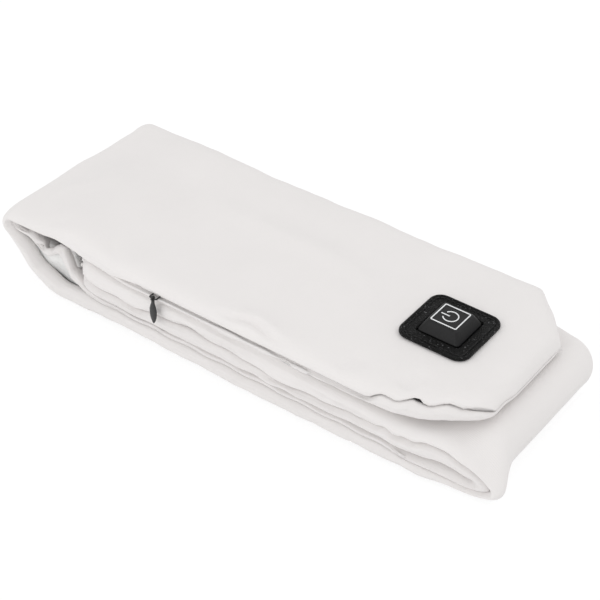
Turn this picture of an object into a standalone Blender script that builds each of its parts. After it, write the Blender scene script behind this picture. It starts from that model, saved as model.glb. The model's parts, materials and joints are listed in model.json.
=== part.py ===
"""Heated neck scarf: a padded cloth tube folded in three, with a heating pad, a zip pocket and a push button.

Every soft piece is set out flat, by its distance along the scarf (s), across it (v) and out of it (n), and is
then laid along the line of the folds. The row frame has +X along the folded scarf, -Y at the zip and +Z up.
"""

import math

import bmesh
import bpy
from mathutils import Matrix, Vector

# Folded scarf
FOLDED_LENGTH = 0.2715
TUBE_WIDTH = 0.105
MIDDLE_DRAWN_IN = 0.0010
BOTTOM_DRAWN_IN = 0.0020
CONTROL_END_INSET = 0.0145
TAIL_END_INSET = 0.0435
CLEARANCE = 0.0003
FACE_TO_LAYER_CLEARANCE = 0.0004

# Thickness of the tube, from its seam plane to the face cloth and to the lining
TOP_FACE_HEIGHT = 0.0066
TOP_LINING_HEIGHT = 0.0060
FOLD_HEIGHT = 0.0038
SLOPE_HEIGHT = 0.0048
BOTTOM_HEIGHT = 0.0056
RIGHT_FOLD_HEIGHT = 0.0063
MIDDLE_HEIGHT = 0.0079

# Line of the folds
LEFT_FOLD_RADIUS = 0.0044
LEFT_FOLD_TURN = math.radians(135)
FLOOR_BEND_RADIUS = 0.026
RIGHT_FOLD_RADIUS = 0.0069
THINNING_LENGTH = 0.045
THICKENING_LENGTH = 0.030

# Cloth, seams and the rounded sides of the tube
CLOTH_THICKNESS = 0.0011
SEAM_ALLOWANCE = 0.0030
SIDE_DEPTH = 0.012
END_DEPTH = 0.011
FLAT_HALF_WIDTH = 0.0190
FLAT_CROWN_SHARE = 1.0
SOFT_CROWN_SHARE = 0.94

# Sides and ends in section, as shares: place in from the limit, height, and place along the seam itself
SIDE_SHARES = ((0.15, 0.0, 0.15), (0.0, 0.34, 0.20), (0.09, 0.66, 0.26), (0.36, 0.88, 0.36), (1.0, 1.0, 1.0))
END_SHARES = (
    (0.16, 0.0, 0.16),
    (0.0, 0.36, 0.21),
    (0.09, 0.66, 0.26),
    (0.32, 0.87, 0.32),
    (0.64, 0.97, 0.64),
    (1.0, 1.0, 1.0),
)

# Outline of the control end and the tail end
CHAMFER_LENGTH = 0.025
CHAMFER_WIDTH = 0.024
FRONT_CORNER_TO_ZIP = 0.0056
FRONT_CORNER_WIDTH = 0.024
TAIL_CORNER_LENGTH = 0.010
TAIL_CORNER_WIDTH = 0.008

# Right fold: its drawn-in corners, and the front one, which is pulled out and droops to the floor
FOLD_CORNER_LENGTH = 0.036
FOLD_FRONT_DRAWN_IN = 0.0055
FOLD_BACK_DRAWN_IN = 0.0040
EAR_PROUD = 0.0043
EAR_REACH = 0.0075
DROOP_START_INSET = 0.03225
DROOP_END_INSET = 0.00025
DROOP_START_DEPTH = 0.0225
DROOP_END_DEPTH = 0.0065
DROOP_SHARE = 0.58

# Control plate and button
FLANGE_SIDE = 0.035
FLANGE_CORNER_RADIUS = 0.006
FLANGE_THICKNESS = 0.0014
FLANGE_RIM_WIDTH = 0.0011
FLANGE_RIM_HEIGHT = 0.0004
CONTROLLER_FROM_END = 0.0400
BUTTON_BASE_SIDE = 0.0205
BUTTON_TOP_SIDE = 0.0150
BUTTON_HEIGHT = 0.0050
BUTTON_WALL = 0.0011
BUTTON_CORNER_RADIUS = 0.0016
BUTTON_INNER_RADIUS = 0.0006
BUTTON_EDGE_ROUND = 0.0004
BUTTON_LIP_SIDE = 0.0226
BUTTON_LIP_THICKNESS = 0.0006
BUTTON_TRAVEL = 0.0007
ICON_SIDE = 0.0130
ICON_LINE = 0.0005
ICON_THICKNESS = 0.0002
ICON_CORNER_RADIUS = 0.0007
ICON_CLEARANCE = 0.00005
ICON_RING_RADIUS = 0.0034
ICON_GAP_ANGLE = math.radians(62)
ICON_BAR_START = 0.0005
ICON_BAR_LENGTH = 0.0042
DIFFUSER_SIDE = 0.0105
DIFFUSER_THICKNESS = 0.0008
STITCH_INSET = 0.0024
STITCH_RADIUS = 0.00025

# Circuit
BACK_SIDE = 0.0250
BACK_WALL = 0.0008
BACK_DEPTH = 0.0042
BOARD_SIDE = 0.0225
BOARD_THICKNESS = 0.0010
SOLDER_GAP = 0.0001
SWITCH_SIDE = 0.0052
SWITCH_HEIGHT = 0.0022
SWITCH_FLOOR = 0.0004
PLUNGER_RADIUS = 0.0013
LED_LENGTH = 0.0016
LED_WIDTH = 0.0010
LED_HEIGHT = 0.0007
LED_PITCH = 0.0030
LED_OFFSET = 0.0050
CHIP_SIDE = 0.0040
CHIP_HEIGHT = 0.0009
CHIP_OFFSET = 0.0056
TRANSISTOR_LENGTH = 0.0030
TRANSISTOR_WIDTH = 0.0026
TRANSISTOR_HEIGHT = 0.0011

# Zip along the front edge of the top layer
ZIP_LENGTH = 0.118
ZIP_FROM_END = 0.1603
ZIP_SEAM_HALF_GAP = 0.0008
SEAM_HALF_GAP = 0.00015
ZIP_RAMP_LENGTH = 0.008
COIL_RADIUS = 0.0005
COIL_OFFSET = 0.00065
COIL_DEPTH = 0.0048
TAPE_THICKNESS = 0.0005
TAPE_FLAT_WIDTH = 0.0018
STOP_LENGTH = 0.0024
STOP_THICKNESS = 0.0012
SLIDER_LENGTH = 0.0066
SLIDER_PLATE = 0.0008
SLIDER_FLANGE = 0.0005
SLIDER_FLANGE_REACH = 0.0014
BAIL_REACH = 0.00585
BAIL_GAP = 0.0030
BAIL_EAR = 0.0010
BAIL_EAR_HEIGHT = 0.0010
BAIL_PIN_RADIUS = 0.0004
BAIL_PIN_WALL = 0.0001
PULL_LENGTH = 0.0155
PULL_WIDTH = 0.0034
PULL_NECK_WIDTH = 0.0019
PULL_NECK_LENGTH = 0.0028
PULL_THICKNESS = 0.0012
PULL_EYE_RADIUS = 0.0012
PULL_EYE_BORE = 0.00078

# The pull's almond below its neck, as shares: the way down, and the half width there
PULL_SHARES = ((0.10, 0.70), (0.24, 0.88), (0.44, 1.0), (0.64, 0.93), (0.80, 0.74), (0.92, 0.46), (0.98, 0.22))

# Pocket behind the zip
POCKET_TO_TRAY = 0.0021
POCKET_BACK_ROOM = 0.0281
POCKET_FRONT_DEPTH = 0.0109
POCKET_INNER_HEIGHT = 0.0050
POCKET_CLOTH = 0.0005
POCKET_ROOM_MARGIN = 0.0045
GLAND_RADIUS = 0.0019
GLAND_FLANGE_RADIUS = 0.0029
GLAND_FLANGE = 0.0008
GLAND_INSET = 0.018

# Filling and heating pad
CORE_HALF_GAP = 0.0013
PAD_TO_FOLD = 0.0209
PAD_FROM_BEND = 0.0215
PAD_WIDTH = 0.072
PAD_SHEET = 0.0004
PAD_SHEET_OFFSET = 0.0009
WIRE_RADIUS = 0.0004
WIRE_RUNS = 6
WIRE_PITCH = 0.0116
PAD_END_MARGIN = 0.007
CUTOFF_RADIUS = 0.0010
CUTOFF_LENGTH = 0.0100
SLEEVE_RADIUS = 0.0010
SLEEVE_LENGTH = 0.0080
LEAD_RADIUS = 0.0008
SUPPLY_LANE_GAP = 0.0030
LEAD_B_LANE_GAP = 0.0046
LEAD_A_LANE_GAP = 0.0060
LEAD_A_OUTLET = 0.0075
LEAD_B_OUTLET = 0.0035
SUPPLY_OUTLET = -0.0085
SUPPLY_LEAD_RADIUS = 0.0010
LONG_RUN = 0.030
WINDOW_LENGTH = 0.040
WINDOW_BACK_MARGIN = 0.0020
WINDOW_FRONT = 0.0165
WADDING_LEAST = 0.0004
WADDING_EDGE_SHARE = 0.30
WADDING_SHOULDER_SHARE = 0.80

# Routes of the leads, set out flat: distance from the control end, and height over the seam plane. The shares
# are of the way across, from the tray's wall to the lead's own lane
SUPPLY_ROUTE = (
    (0.0726, 0.0),
    (0.0700, 0.0),
    (0.0640, 0.0),
    (0.0585, 0.0003),
    (0.0545, 0.0016),
    (0.0510, 0.0034),
    (0.0488, 0.0041),
    (0.0485, 0.0042),
)
SUPPLY_ACROSS_SHARES = (0.885, 0.987, 1.0, 1.0, 0.975, 0.847, 0.592, 0.306)
LEAD_A_ROUTE = (
    (0.0325, 0.0042),
    (0.0325, 0.0033),
    (0.0335, 0.0014),
    (0.0365, 0.0001),
    (0.0415, 0.0),
)
LEAD_A_ACROSS_SHARES = (0.354, 0.658, 0.867, 0.985, 1.0)
LEAD_B_ROUTE = (
    (0.0365, 0.0042),
    (0.0368, 0.0034),
    (0.0385, 0.0015),
    (0.0420, 0.0001),
    (0.0465, 0.0),
)
LEAD_B_ACROSS_SHARES = (0.409, 0.704, 0.916, 1.0, 1.0)

# The leads' last stretches, at the height of the seam plane: distance back from the pad's start, and share of
# the way across from the lane to the pad's own wire
LEAD_A_PAD_ROUTE = (0.0504, 0.0424, 0.0334, 0.0254)
LEAD_A_PAD_SHARES = (0.0, 0.2, 0.733, 0.978)
LEAD_B_PAD_ROUTE = (0.0504, 0.0434, 0.0364, 0.0314, 0.0264, 0.0194, 0.0134)
LEAD_B_PAD_SHARES = (0.0, 0.057, 0.279, 0.525, 0.77, 0.954, 0.997)

# Faces per turn, and the steps of the bends
ROUND_SEGMENTS = 16
LEFT_FOLD_STEPS = 7
FLOOR_BEND_STEPS = 3
RIGHT_FOLD_STEPS = 8
LAYER_STEPS = 3
DROOP_STEPS = 2
CORNER_STEPS = 4
TURN_STEPS = 6
LEAD_STEPS = 4
STRAND_RESOLUTION = 2
SHARP_ANGLE = math.radians(40)
WELD_DISTANCE = 0.00001
EMPTY_SIZE = 0.01
CUT_OVERRUN = 0.002

# Colour, roughness and metallic value of each finish
FINISHES = {
    "ivory_cloth": ((0.83, 0.81, 0.80), 0.95, 0.0),
    "lining_cloth": ((0.80, 0.78, 0.77), 0.95, 0.0),
    "wadding": ((0.90, 0.90, 0.89), 1.0, 0.0),
    "black_rubber": ((0.022, 0.022, 0.022), 0.55, 0.0),
    "black_plastic": ((0.015, 0.015, 0.016), 0.40, 0.0),
    "black_thread": ((0.05, 0.05, 0.05), 0.9, 0.0),
    "icon_white": ((0.85, 0.86, 0.86), 0.5, 0.0),
    "milky_plastic": ((0.80, 0.80, 0.78), 0.4, 0.0),
    "board_green": ((0.03, 0.14, 0.07), 0.5, 0.0),
    "chip_black": ((0.02, 0.02, 0.02), 0.5, 0.0),
    "switch_steel": ((0.55, 0.55, 0.56), 0.35, 1.0),
    "led_clear": ((0.85, 0.80, 0.60), 0.3, 0.0),
    "zip_black": ((0.012, 0.012, 0.013), 0.35, 0.0),
    "zip_white": ((0.78, 0.77, 0.76), 0.7, 0.0),
    "pad_fleece": ((0.70, 0.70, 0.68), 0.95, 0.0),
    "carbon_wire": ((0.03, 0.03, 0.035), 0.6, 0.0),
    "red_lead": ((0.45, 0.02, 0.02), 0.5, 0.0),
    "black_lead": ((0.02, 0.02, 0.02), 0.5, 0.0),
}

# Worked out from the sizes above
HALF_WIDTH = TUBE_WIDTH / 2
HALF_LENGTH = FOLDED_LENGTH / 2
BAIL_PROUD = SLIDER_PLATE - (COIL_DEPTH - COIL_RADIUS - CLEARANCE) + BAIL_REACH
FRONT_PROUD = BAIL_PROUD + PULL_EYE_RADIUS - BAIL_PIN_RADIUS - BAIL_PIN_WALL
AXIS_Y = FRONT_PROUD / 2
FRONT_Y = AXIS_Y - HALF_WIDTH
BOTTOM_Z = BOTTOM_HEIGHT
MIDDLE_Z = BOTTOM_Z + 2 * RIGHT_FOLD_RADIUS
TOP_Z = MIDDLE_Z + MIDDLE_HEIGHT + TOP_LINING_HEIGHT + FACE_TO_LAYER_CLEARANCE
CONTROL_END_X = HALF_LENGTH - CONTROL_END_INSET
CONTROLLER_X = CONTROL_END_X - CONTROLLER_FROM_END
ZIP_CLOSED_X = CONTROL_END_X - ZIP_FROM_END
DROOP_START_X = HALF_LENGTH - DROOP_START_INSET
DROOP_END_X = HALF_LENGTH - DROOP_END_INSET
DROOP_START_Y = HALF_WIDTH - DROOP_START_DEPTH
DROOP_END_Y = HALF_WIDTH - DROOP_END_DEPTH
CLOTH_TOP_Z = TOP_Z + TOP_FACE_HEIGHT
FLANGE_TOP_Z = CLOTH_TOP_Z + CLEARANCE + FLANGE_THICKNESS
ZIP_FIRST_X = ZIP_CLOSED_X - SLIDER_LENGTH
ZIP_LAST_X = ZIP_FIRST_X + ZIP_LENGTH
COIL_FIRST_X = ZIP_FIRST_X + 2 * CLEARANCE + STOP_LENGTH
COIL_LAST_X = ZIP_LAST_X - 2 * CLEARANCE - STOP_LENGTH
FRONT_CORNER_LENGTH = CONTROL_END_X - ZIP_LAST_X - FRONT_CORNER_TO_ZIP
POCKET_LENGTH = CONTROLLER_X - BACK_SIDE / 2 - POCKET_TO_TRAY - COIL_FIRST_X
POCKET_FRONT_V = POCKET_FRONT_DEPTH - HALF_WIDTH
POCKET_BACK_V = HALF_WIDTH - POCKET_BACK_ROOM
POCKET_DEPTH = POCKET_BACK_V - POCKET_FRONT_V
SUPPLY_LANE = POCKET_BACK_V + SUPPLY_LANE_GAP
LEAD_B_LANE = SUPPLY_LANE + LEAD_B_LANE_GAP
LEAD_A_LANE = LEAD_B_LANE + LEAD_A_LANE_GAP
WINDOW_BACK = LEAD_A_LANE + WINDOW_BACK_MARGIN
POCKET_HALF_HEIGHT = POCKET_INNER_HEIGHT / 2 + POCKET_CLOTH
GLAND_X = COIL_FIRST_X + POCKET_LENGTH - GLAND_INSET
PIN_Y = FRONT_Y - BAIL_PROUD + BAIL_PIN_WALL + BAIL_PIN_RADIUS
OUTLET_Z = CLOTH_TOP_Z - CLOTH_THICKNESS - CLEARANCE - SUPPLY_LEAD_RADIUS
OUTLETS = (
    ("lead_a_hole", LEAD_A_OUTLET, LEAD_RADIUS),
    ("lead_b_hole", LEAD_B_OUTLET, LEAD_RADIUS),
    ("supply_hole", SUPPLY_OUTLET, SUPPLY_LEAD_RADIUS),
)
WIRE_LANE = WIRE_PITCH * (WIRE_RUNS - 1) / 2

# Turns that stand a flat piece or a cylinder along an axis, and an extruded section along X
TURNS = {"X": (0.0, math.pi / 2, 0.0), "Y": (math.pi / 2, 0.0, 0.0), "Z": (0.0, 0.0, 0.0)}
SECTION_TURN = (math.pi / 2, 0.0, math.pi / 2)
BACKWARD_TURN = (-math.pi / 2, 0.0, 0.0)


class FoldLine:
    """The line of the seam plane in XZ: straight runs and bends, from the control end to the tail."""

    def __init__(self, x, z, heading):
        self.runs = []
        self.end = (x, z, heading)
        self.length = 0.0

    def straight(self, length):
        self._add(length, 0.0)

    def bend(self, radius, turn):
        self._add(radius * turn, 1 / radius)

    def _add(self, length, curvature):
        self.runs.append((self.length, length, curvature, self.end))
        self.end = self._along(self.end, length, curvature)
        self.length += length

    @staticmethod
    def _along(start, distance, curvature):
        x, z, heading = start
        if curvature == 0:
            return x + distance * math.cos(heading), z + distance * math.sin(heading), heading
        after = heading + distance * curvature
        radius = 1 / curvature
        across = math.sin(after) - math.sin(heading)
        up = math.cos(heading) - math.cos(after)
        return x + radius * across, z + radius * up, after

    def at(self, s):
        for first, length, curvature, start in reversed(self.runs):
            if s >= first or first == 0:
                return self._along(start, s - first, curvature)


def make_fold_line():
    """The scarf's fold line, and the distances along it at which each run starts."""
    line = FoldLine(CONTROL_END_X, TOP_Z, math.pi)
    marks = {}
    slope = math.pi - LEFT_FOLD_TURN
    left_fold_x = -HALF_LENGTH + LEFT_FOLD_RADIUS + FOLD_HEIGHT
    line.straight(CONTROL_END_X - left_fold_x)
    marks["left_fold"] = line.length
    line.bend(LEFT_FOLD_RADIUS, LEFT_FOLD_TURN)
    marks["slope"] = line.length
    fold_drop = LEFT_FOLD_RADIUS * (1 + math.cos(slope))
    bend_drop = FLOOR_BEND_RADIUS * (1 - math.cos(slope))
    line.straight((TOP_Z - fold_drop - bend_drop - BOTTOM_Z) / math.sin(slope))
    marks["floor_bend"] = line.length
    line.bend(FLOOR_BEND_RADIUS, slope)
    marks["bottom"] = line.length
    right_fold_x = HALF_LENGTH - EAR_PROUD - RIGHT_FOLD_RADIUS - RIGHT_FOLD_HEIGHT
    marks["bottom_x"] = line.end[0]
    line.straight(right_fold_x - line.end[0])
    marks["right_fold"] = line.length
    line.bend(RIGHT_FOLD_RADIUS, math.pi)
    marks["middle"] = line.length
    line.straight(right_fold_x + HALF_LENGTH - TAIL_END_INSET)
    marks["tail"] = line.length
    return line, marks


FOLD_LINE, MARKS = make_fold_line()
PAD_X = MARKS["bottom_x"] + PAD_FROM_BEND
PAD_S = MARKS["bottom"] + PAD_FROM_BEND
PAD_LENGTH = MARKS["right_fold"] - PAD_S - PAD_TO_FOLD
DROOP_S = MARKS["bottom"] + DROOP_START_X - MARKS["bottom_x"]
FOLD_MIDDLE_S = (MARKS["right_fold"] + MARKS["middle"]) / 2


def smooth_step(value, first, last):
    """0 before first, 1 after last, and a smooth rise between them."""
    share = min(max((value - first) / (last - first), 0.0), 1.0)
    return share * share * (3 - 2 * share)


def ear_share(x, v):
    """How far a place lies in the front right corner, from 0 outside it to 1 at its point."""
    along = smooth_step(x, DROOP_START_X, DROOP_END_X)
    return along * smooth_step(-v, DROOP_START_Y, DROOP_END_Y)


def laid(s, v, n):
    """The place in the row frame of a point that is set out flat."""
    x, z, heading = FOLD_LINE.at(s)
    x += n * math.sin(heading)
    z -= n * math.cos(heading)
    ear = ear_share(x, v)
    return Vector((x + EAR_REACH * ear, AXIS_Y + v, z * (1 - DROOP_SHARE * ear)))


def between(s, knots):
    """The value at s on a smooth line through pairs of distance and value."""
    for (first, low), (last, high) in zip(knots, knots[1:]):
        if s <= last:
            return low + (high - low) * smooth_step(s, first, last)
    return knots[-1][1]


def face_height(s):
    """Height of the face cloth's outside over the seam plane."""
    return between(
        s,
        (
            (0.0, TOP_FACE_HEIGHT),
            (MARKS["left_fold"] - THINNING_LENGTH, TOP_FACE_HEIGHT),
            (MARKS["left_fold"], FOLD_HEIGHT),
            (MARKS["slope"], FOLD_HEIGHT),
            (MARKS["floor_bend"], SLOPE_HEIGHT),
            (MARKS["bottom"], BOTTOM_HEIGHT),
            (MARKS["right_fold"], BOTTOM_HEIGHT),
            (MARKS["middle"], RIGHT_FOLD_HEIGHT),
            (MARKS["middle"] + THICKENING_LENGTH, MIDDLE_HEIGHT),
        ),
    )


def lining_height(s):
    """Height of the lining's outside over the seam plane."""
    if s < MARKS["left_fold"]:
        knots = (
            (MARKS["left_fold"] - THINNING_LENGTH, TOP_LINING_HEIGHT),
            (MARKS["left_fold"], FOLD_HEIGHT),
        )
        return TOP_LINING_HEIGHT if s < knots[0][0] else between(s, knots)
    return face_height(s)


def crown_share(s, side):
    """The share of the height left at the sides: the face is flat where the scarf rests on it."""
    if side > 0 and MARKS["floor_bend"] <= s <= MARKS["middle"]:
        return FLAT_CROWN_SHARE
    return SOFT_CROWN_SHARE


def limits(s):
    """The front and back limits of the tube across its width: the outline's corners at its two ends."""
    front = FRONT_CORNER_WIDTH * max(0.0, 1 - s / FRONT_CORNER_LENGTH) ** 2
    back = CHAMFER_WIDTH * max(0.0, 1 - s / CHAMFER_LENGTH)
    tail = TAIL_CORNER_WIDTH * smooth_step(s, MARKS["tail"] - TAIL_CORNER_LENGTH, MARKS["tail"])
    layer = BOTTOM_DRAWN_IN * smooth_step(s, MARKS["left_fold"], MARKS["bottom"])
    layer -= (BOTTOM_DRAWN_IN - MIDDLE_DRAWN_IN) * smooth_step(s, MARKS["right_fold"], MARKS["middle"])
    near = smooth_step(FOLD_CORNER_LENGTH - abs(s - FOLD_MIDDLE_S), 0.0, FOLD_CORNER_LENGTH)
    front += tail + layer + FOLD_FRONT_DRAWN_IN * near
    back += tail + layer + FOLD_BACK_DRAWN_IN * near
    return front - HALF_WIDTH, HALF_WIDTH - back


def zip_half_gap(s):
    """Half the gap between the two cloths at the front seam, wider in front of the zip."""
    first = CONTROL_END_X - ZIP_LAST_X
    last = CONTROL_END_X - ZIP_FIRST_X
    rise = smooth_step(s, first - ZIP_RAMP_LENGTH, first)
    fall = smooth_step(s, last, last + ZIP_RAMP_LENGTH)
    return SEAM_HALF_GAP + (ZIP_SEAM_HALF_GAP - SEAM_HALF_GAP) * rise * (1 - fall)


def stations():
    """The cross-sections: distance along the scarf, share of the height, and the seam's own distance."""
    zip_first = CONTROL_END_X - ZIP_LAST_X
    zip_last = CONTROL_END_X - ZIP_FIRST_X
    thinning = MARKS["left_fold"] - THINNING_LENGTH
    inner = [CHAMFER_LENGTH, zip_first - ZIP_RAMP_LENGTH, zip_first, CONTROLLER_FROM_END + FLANGE_SIDE]
    inner += [zip_last, zip_last + ZIP_RAMP_LENGTH, thinning, thinning + THINNING_LENGTH / 2]
    inner += steps(MARKS["left_fold"], MARKS["slope"], LEFT_FOLD_STEPS)
    inner += steps(MARKS["slope"], MARKS["floor_bend"], 1)
    inner += steps(MARKS["floor_bend"], MARKS["bottom"], FLOOR_BEND_STEPS)
    inner += steps(MARKS["bottom"], DROOP_S, LAYER_STEPS)
    inner += steps(DROOP_S, MARKS["right_fold"], DROOP_STEPS)
    inner += steps(MARKS["right_fold"], MARKS["middle"], RIGHT_FOLD_STEPS)
    thick = MARKS["middle"] + THICKENING_LENGTH
    inner += steps(MARKS["middle"], 2 * FOLD_MIDDLE_S - DROOP_S, DROOP_STEPS)
    inner += [2 * FOLD_MIDDLE_S - DROOP_S, thick]
    inner += steps(thick, MARKS["tail"] - END_DEPTH, LAYER_STEPS)[1:]
    found = [(END_DEPTH * along, height, END_DEPTH * rim) for along, height, rim in END_SHARES]
    found += [(s, 1.0, s) for s in sorted(inner)]
    tail = MARKS["tail"]
    for along, height, rim in reversed(END_SHARES):
        found.append((tail - END_DEPTH * along, height, tail - END_DEPTH * rim))
    return found


def steps(first, last, count):
    """The starts of equal steps between two distances."""
    return [first + (last - first) * k / count for k in range(count)]


STATIONS = stations()


def dome_row(station, side, inset):
    """One cross-section of a dome on one side of the seam plane, from the front seam to the back seam.

    Each point is its distance along, its place across and its height over the seam plane. inset draws the
    dome in from the tube's outside.
    """
    s, end_share, rim_s = station
    height = (face_height(s) if side > 0 else lining_height(s)) - inset
    crown = crown_share(s, side)
    floors = (zip_half_gap(s), SEAM_HALF_GAP)
    halves = []
    for edge, floor, way in zip((0, 1), floors, (1, -1)):
        rise = max(height - floor, 0.0) * end_share
        half = []
        for depth, share, rim in SIDE_SHARES:
            along = rim_s if share == 0 else s
            inwards = SIDE_DEPTH * (rim if end_share == 0 else depth) + inset
            half.append((along, limits(along)[edge] + way * inwards, floor + rise * share * crown))
        shoulder = half[-1][1]
        flat = max(-FLAT_HALF_WIDTH, shoulder + CLEARANCE)
        if edge == 1:
            flat = min(FLAT_HALF_WIDTH, shoulder - CLEARANCE)
        halves.append(half + [(s, flat, floor + rise)])
    row = halves[0] + halves[1][::-1]
    return [(along, v, side * n) for along, v, n in row]


def end_shift(s, depth):
    """How far a piece drawn in by depth moves away from the nearer end."""
    near_start = 1 - smooth_step(s, END_DEPTH, CHAMFER_LENGTH)
    near_tail = smooth_step(s, MARKS["tail"] - CHAMFER_LENGTH, MARKS["tail"] - END_DEPTH)
    return depth * (near_start - near_tail)


def dome_grid(side, inset=0.0):
    """Rows of points in the row frame, one row for each station."""
    rows = [dome_row(station, side, inset) for station in STATIONS]
    return [[laid(s + end_shift(s, inset), v, n) for s, v, n in row] for row in rows]


def material(name):
    """The finish's material, made on its first use."""
    found = bpy.data.materials.get(name)
    if found:
        return found
    colour, roughness, metallic = FINISHES[name]
    made = bpy.data.materials.new(name)
    made.use_nodes = True
    shader = made.node_tree.nodes["Principled BSDF"]
    shader.inputs["Base Color"].default_value = (*colour, 1.0)
    shader.inputs["Roughness"].default_value = roughness
    shader.inputs["Metallic"].default_value = metallic
    made.diffuse_color = (*colour, 1.0)
    return made


def collection(name):
    made = bpy.data.collections.new(name)
    bpy.context.scene.collection.children.link(made)
    return made


def add_object(name, data, finish, group):
    """A new object in a collection, with its finish."""
    obj = bpy.data.objects.new(name, data)
    data.materials.append(material(finish))
    group.objects.link(obj)
    return obj


def mesh_object(name, bm, finish, group, smooth=True):
    """An object from a bmesh, with its normals facing out."""
    bmesh.ops.recalc_face_normals(bm, faces=bm.faces)
    mesh = bpy.data.meshes.new(name)
    bm.to_mesh(mesh)
    bm.free()
    if smooth:
        mesh.shade_smooth()
        mesh.set_sharp_from_angle(angle=SHARP_ANGLE)
    return add_object(name, mesh, finish, group)


def grid_faces(bm, rows, turned=False):
    """A sheet of quads through rows of vertices."""
    for low, high in zip(rows, rows[1:]):
        for k in range(len(low) - 1):
            sides = [(low[k + 1],), (high[k],)]
            first, last = sides[::-1] if turned else sides
            bm.faces.new((low[k], *first, high[k + 1], *last))


def split_alike(obj):
    """Splits each quad along the same diagonal, so that nested sheets stay parallel where they twist."""
    triangles = obj.modifiers.new("Triangles", "TRIANGULATE")
    triangles.quad_method = "FIXED"
    return obj


def rim_loop(rows):
    """The vertices round the edge of a grid, in order."""
    back = [row[-1] for row in rows[1:-1]]
    front = [row[0] for row in rows[-2:0:-1]]
    return rows[0] + back + rows[-1][::-1] + front


def join_rims(bm, outer, inner):
    """A band of quads between two grids' edges."""
    first, second = rim_loop(outer), rim_loop(inner)
    for k in range(len(first)):
        after = (k + 1) % len(first)
        bm.faces.new((first[k], first[after], second[after], second[k]))


def cloth_panel(name, side, finish, group):
    """One cloth of the tube: the dome's outside, its inside and the band at the seam."""
    bm = bmesh.new()
    outer = [[bm.verts.new(p) for p in row] for row in dome_grid(side)]
    inner = [[bm.verts.new(p) for p in row] for row in dome_grid(side, inset=CLOTH_THICKNESS)]
    grid_faces(bm, outer)
    grid_faces(bm, inner, turned=True)
    join_rims(bm, outer, inner)
    return split_alike(mesh_object(name, bm, finish, group))


def wadding_row(station, side):
    """Points across a filling sheet: place across, lower height and upper height."""
    _, end_share, s = station
    front, back = limits(s)
    height = (face_height(s) if side > 0 else lining_height(s)) - CLOTH_THICKNESS - CLEARANCE
    crown = crown_share(s, side)
    shoulder = CLOTH_THICKNESS + SIDE_DEPTH * SIDE_SHARES[-2][0]
    depths = (
        (CLOTH_THICKNESS + SEAM_ALLOWANCE, WADDING_EDGE_SHARE),
        (shoulder, WADDING_SHOULDER_SHARE * crown),
        (CLOTH_THICKNESS + SIDE_DEPTH, crown),
    )
    reach = depths[-1][0] + CLEARANCE
    places = [(front + depth, share) for depth, share in depths]
    flats = (max(-FLAT_HALF_WIDTH, front + reach), min(FLAT_HALF_WIDTH, back - reach))
    places += [(v, 1.0) for v in flats]
    places += [(back - depth, share) for depth, share in reversed(depths)]
    least = CORE_HALF_GAP + WADDING_LEAST
    rise = max(height - least, 0.0) * end_share
    return [(v, side * CORE_HALF_GAP, side * (least + rise * share)) for v, share in places]


def wadding_layer(name, side, group):
    """One sheet of filling, between a cloth and the heating pad, clear of the seam allowances."""
    bm = bmesh.new()
    over, under = [], []
    for station in STATIONS:
        along = station[2] + end_shift(station[2], SEAM_ALLOWANCE)
        row = wadding_row(station, side)
        over.append([bm.verts.new(laid(along, v, high)) for v, _, high in row])
        under.append([bm.verts.new(laid(along, v, low)) for v, low, _ in row])
    grid_faces(bm, over)
    grid_faces(bm, under, turned=True)
    join_rims(bm, over, under)
    return split_alike(mesh_object(name, bm, "wadding", group))


def box(name, size, centre, finish, group):
    bm = bmesh.new()
    bmesh.ops.create_cube(bm, size=1.0, matrix=Matrix.Diagonal((*size, 1.0)))
    obj = mesh_object(name, bm, finish, group, smooth=False)
    obj.location = centre
    return obj


def open_box(name, size, wall, open_side, finish, group):
    """A thin-walled box without the side that faces along open_side."""
    bm = bmesh.new()
    bmesh.ops.create_cube(bm, size=1.0, matrix=Matrix.Diagonal((*size, 1.0)))
    bm.normal_update()
    missing = [face for face in bm.faces if face.normal.dot(Vector(open_side)) > 0]
    bmesh.ops.delete(bm, geom=missing, context="FACES_ONLY")
    obj = mesh_object(name, bm, finish, group, smooth=False)
    walls = obj.modifiers.new("Walls", "SOLIDIFY")
    walls.thickness = wall
    walls.offset = -1.0
    walls.use_even_offset = True
    return obj


def cylinder(name, radius, length, centre, axis, finish, group):
    bm = bmesh.new()
    ends = {"radius1": radius, "radius2": radius, "depth": length}
    bmesh.ops.create_cone(bm, cap_ends=True, segments=ROUND_SEGMENTS, **ends)
    obj = mesh_object(name, bm, finish, group)
    obj.location = centre
    obj.rotation_euler = TURNS[axis]
    return obj


def rounded_outline(length, width, radius):
    """A rectangle's outline about its centre, with its corners rounded."""
    found = []
    for quarter, (along, across) in enumerate(((1, 1), (-1, 1), (-1, -1), (1, -1))):
        x = along * (length / 2 - radius)
        y = across * (width / 2 - radius)
        for k in range(CORNER_STEPS + 1):
            angle = (quarter + k / CORNER_STEPS) * math.pi / 2
            found.append((x + radius * math.cos(angle), y + radius * math.sin(angle)))
    return found


def flat_piece(name, outlines, thickness, finish, group):
    """A flat piece about its own middle plane: its edge, and its holes as further outlines."""
    curve = bpy.data.curves.new(name, "CURVE")
    curve.dimensions = "2D"
    curve.fill_mode = "BOTH"
    curve.extrude = thickness / 2
    for outline in outlines:
        spline = curve.splines.new("POLY")
        spline.points.add(len(outline) - 1)
        for point, (x, y) in zip(spline.points, outline):
            point.co = (x, y, 0.0, 1.0)
        spline.use_cyclic_u = True
    return add_object(name, curve, finish, group)


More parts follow.
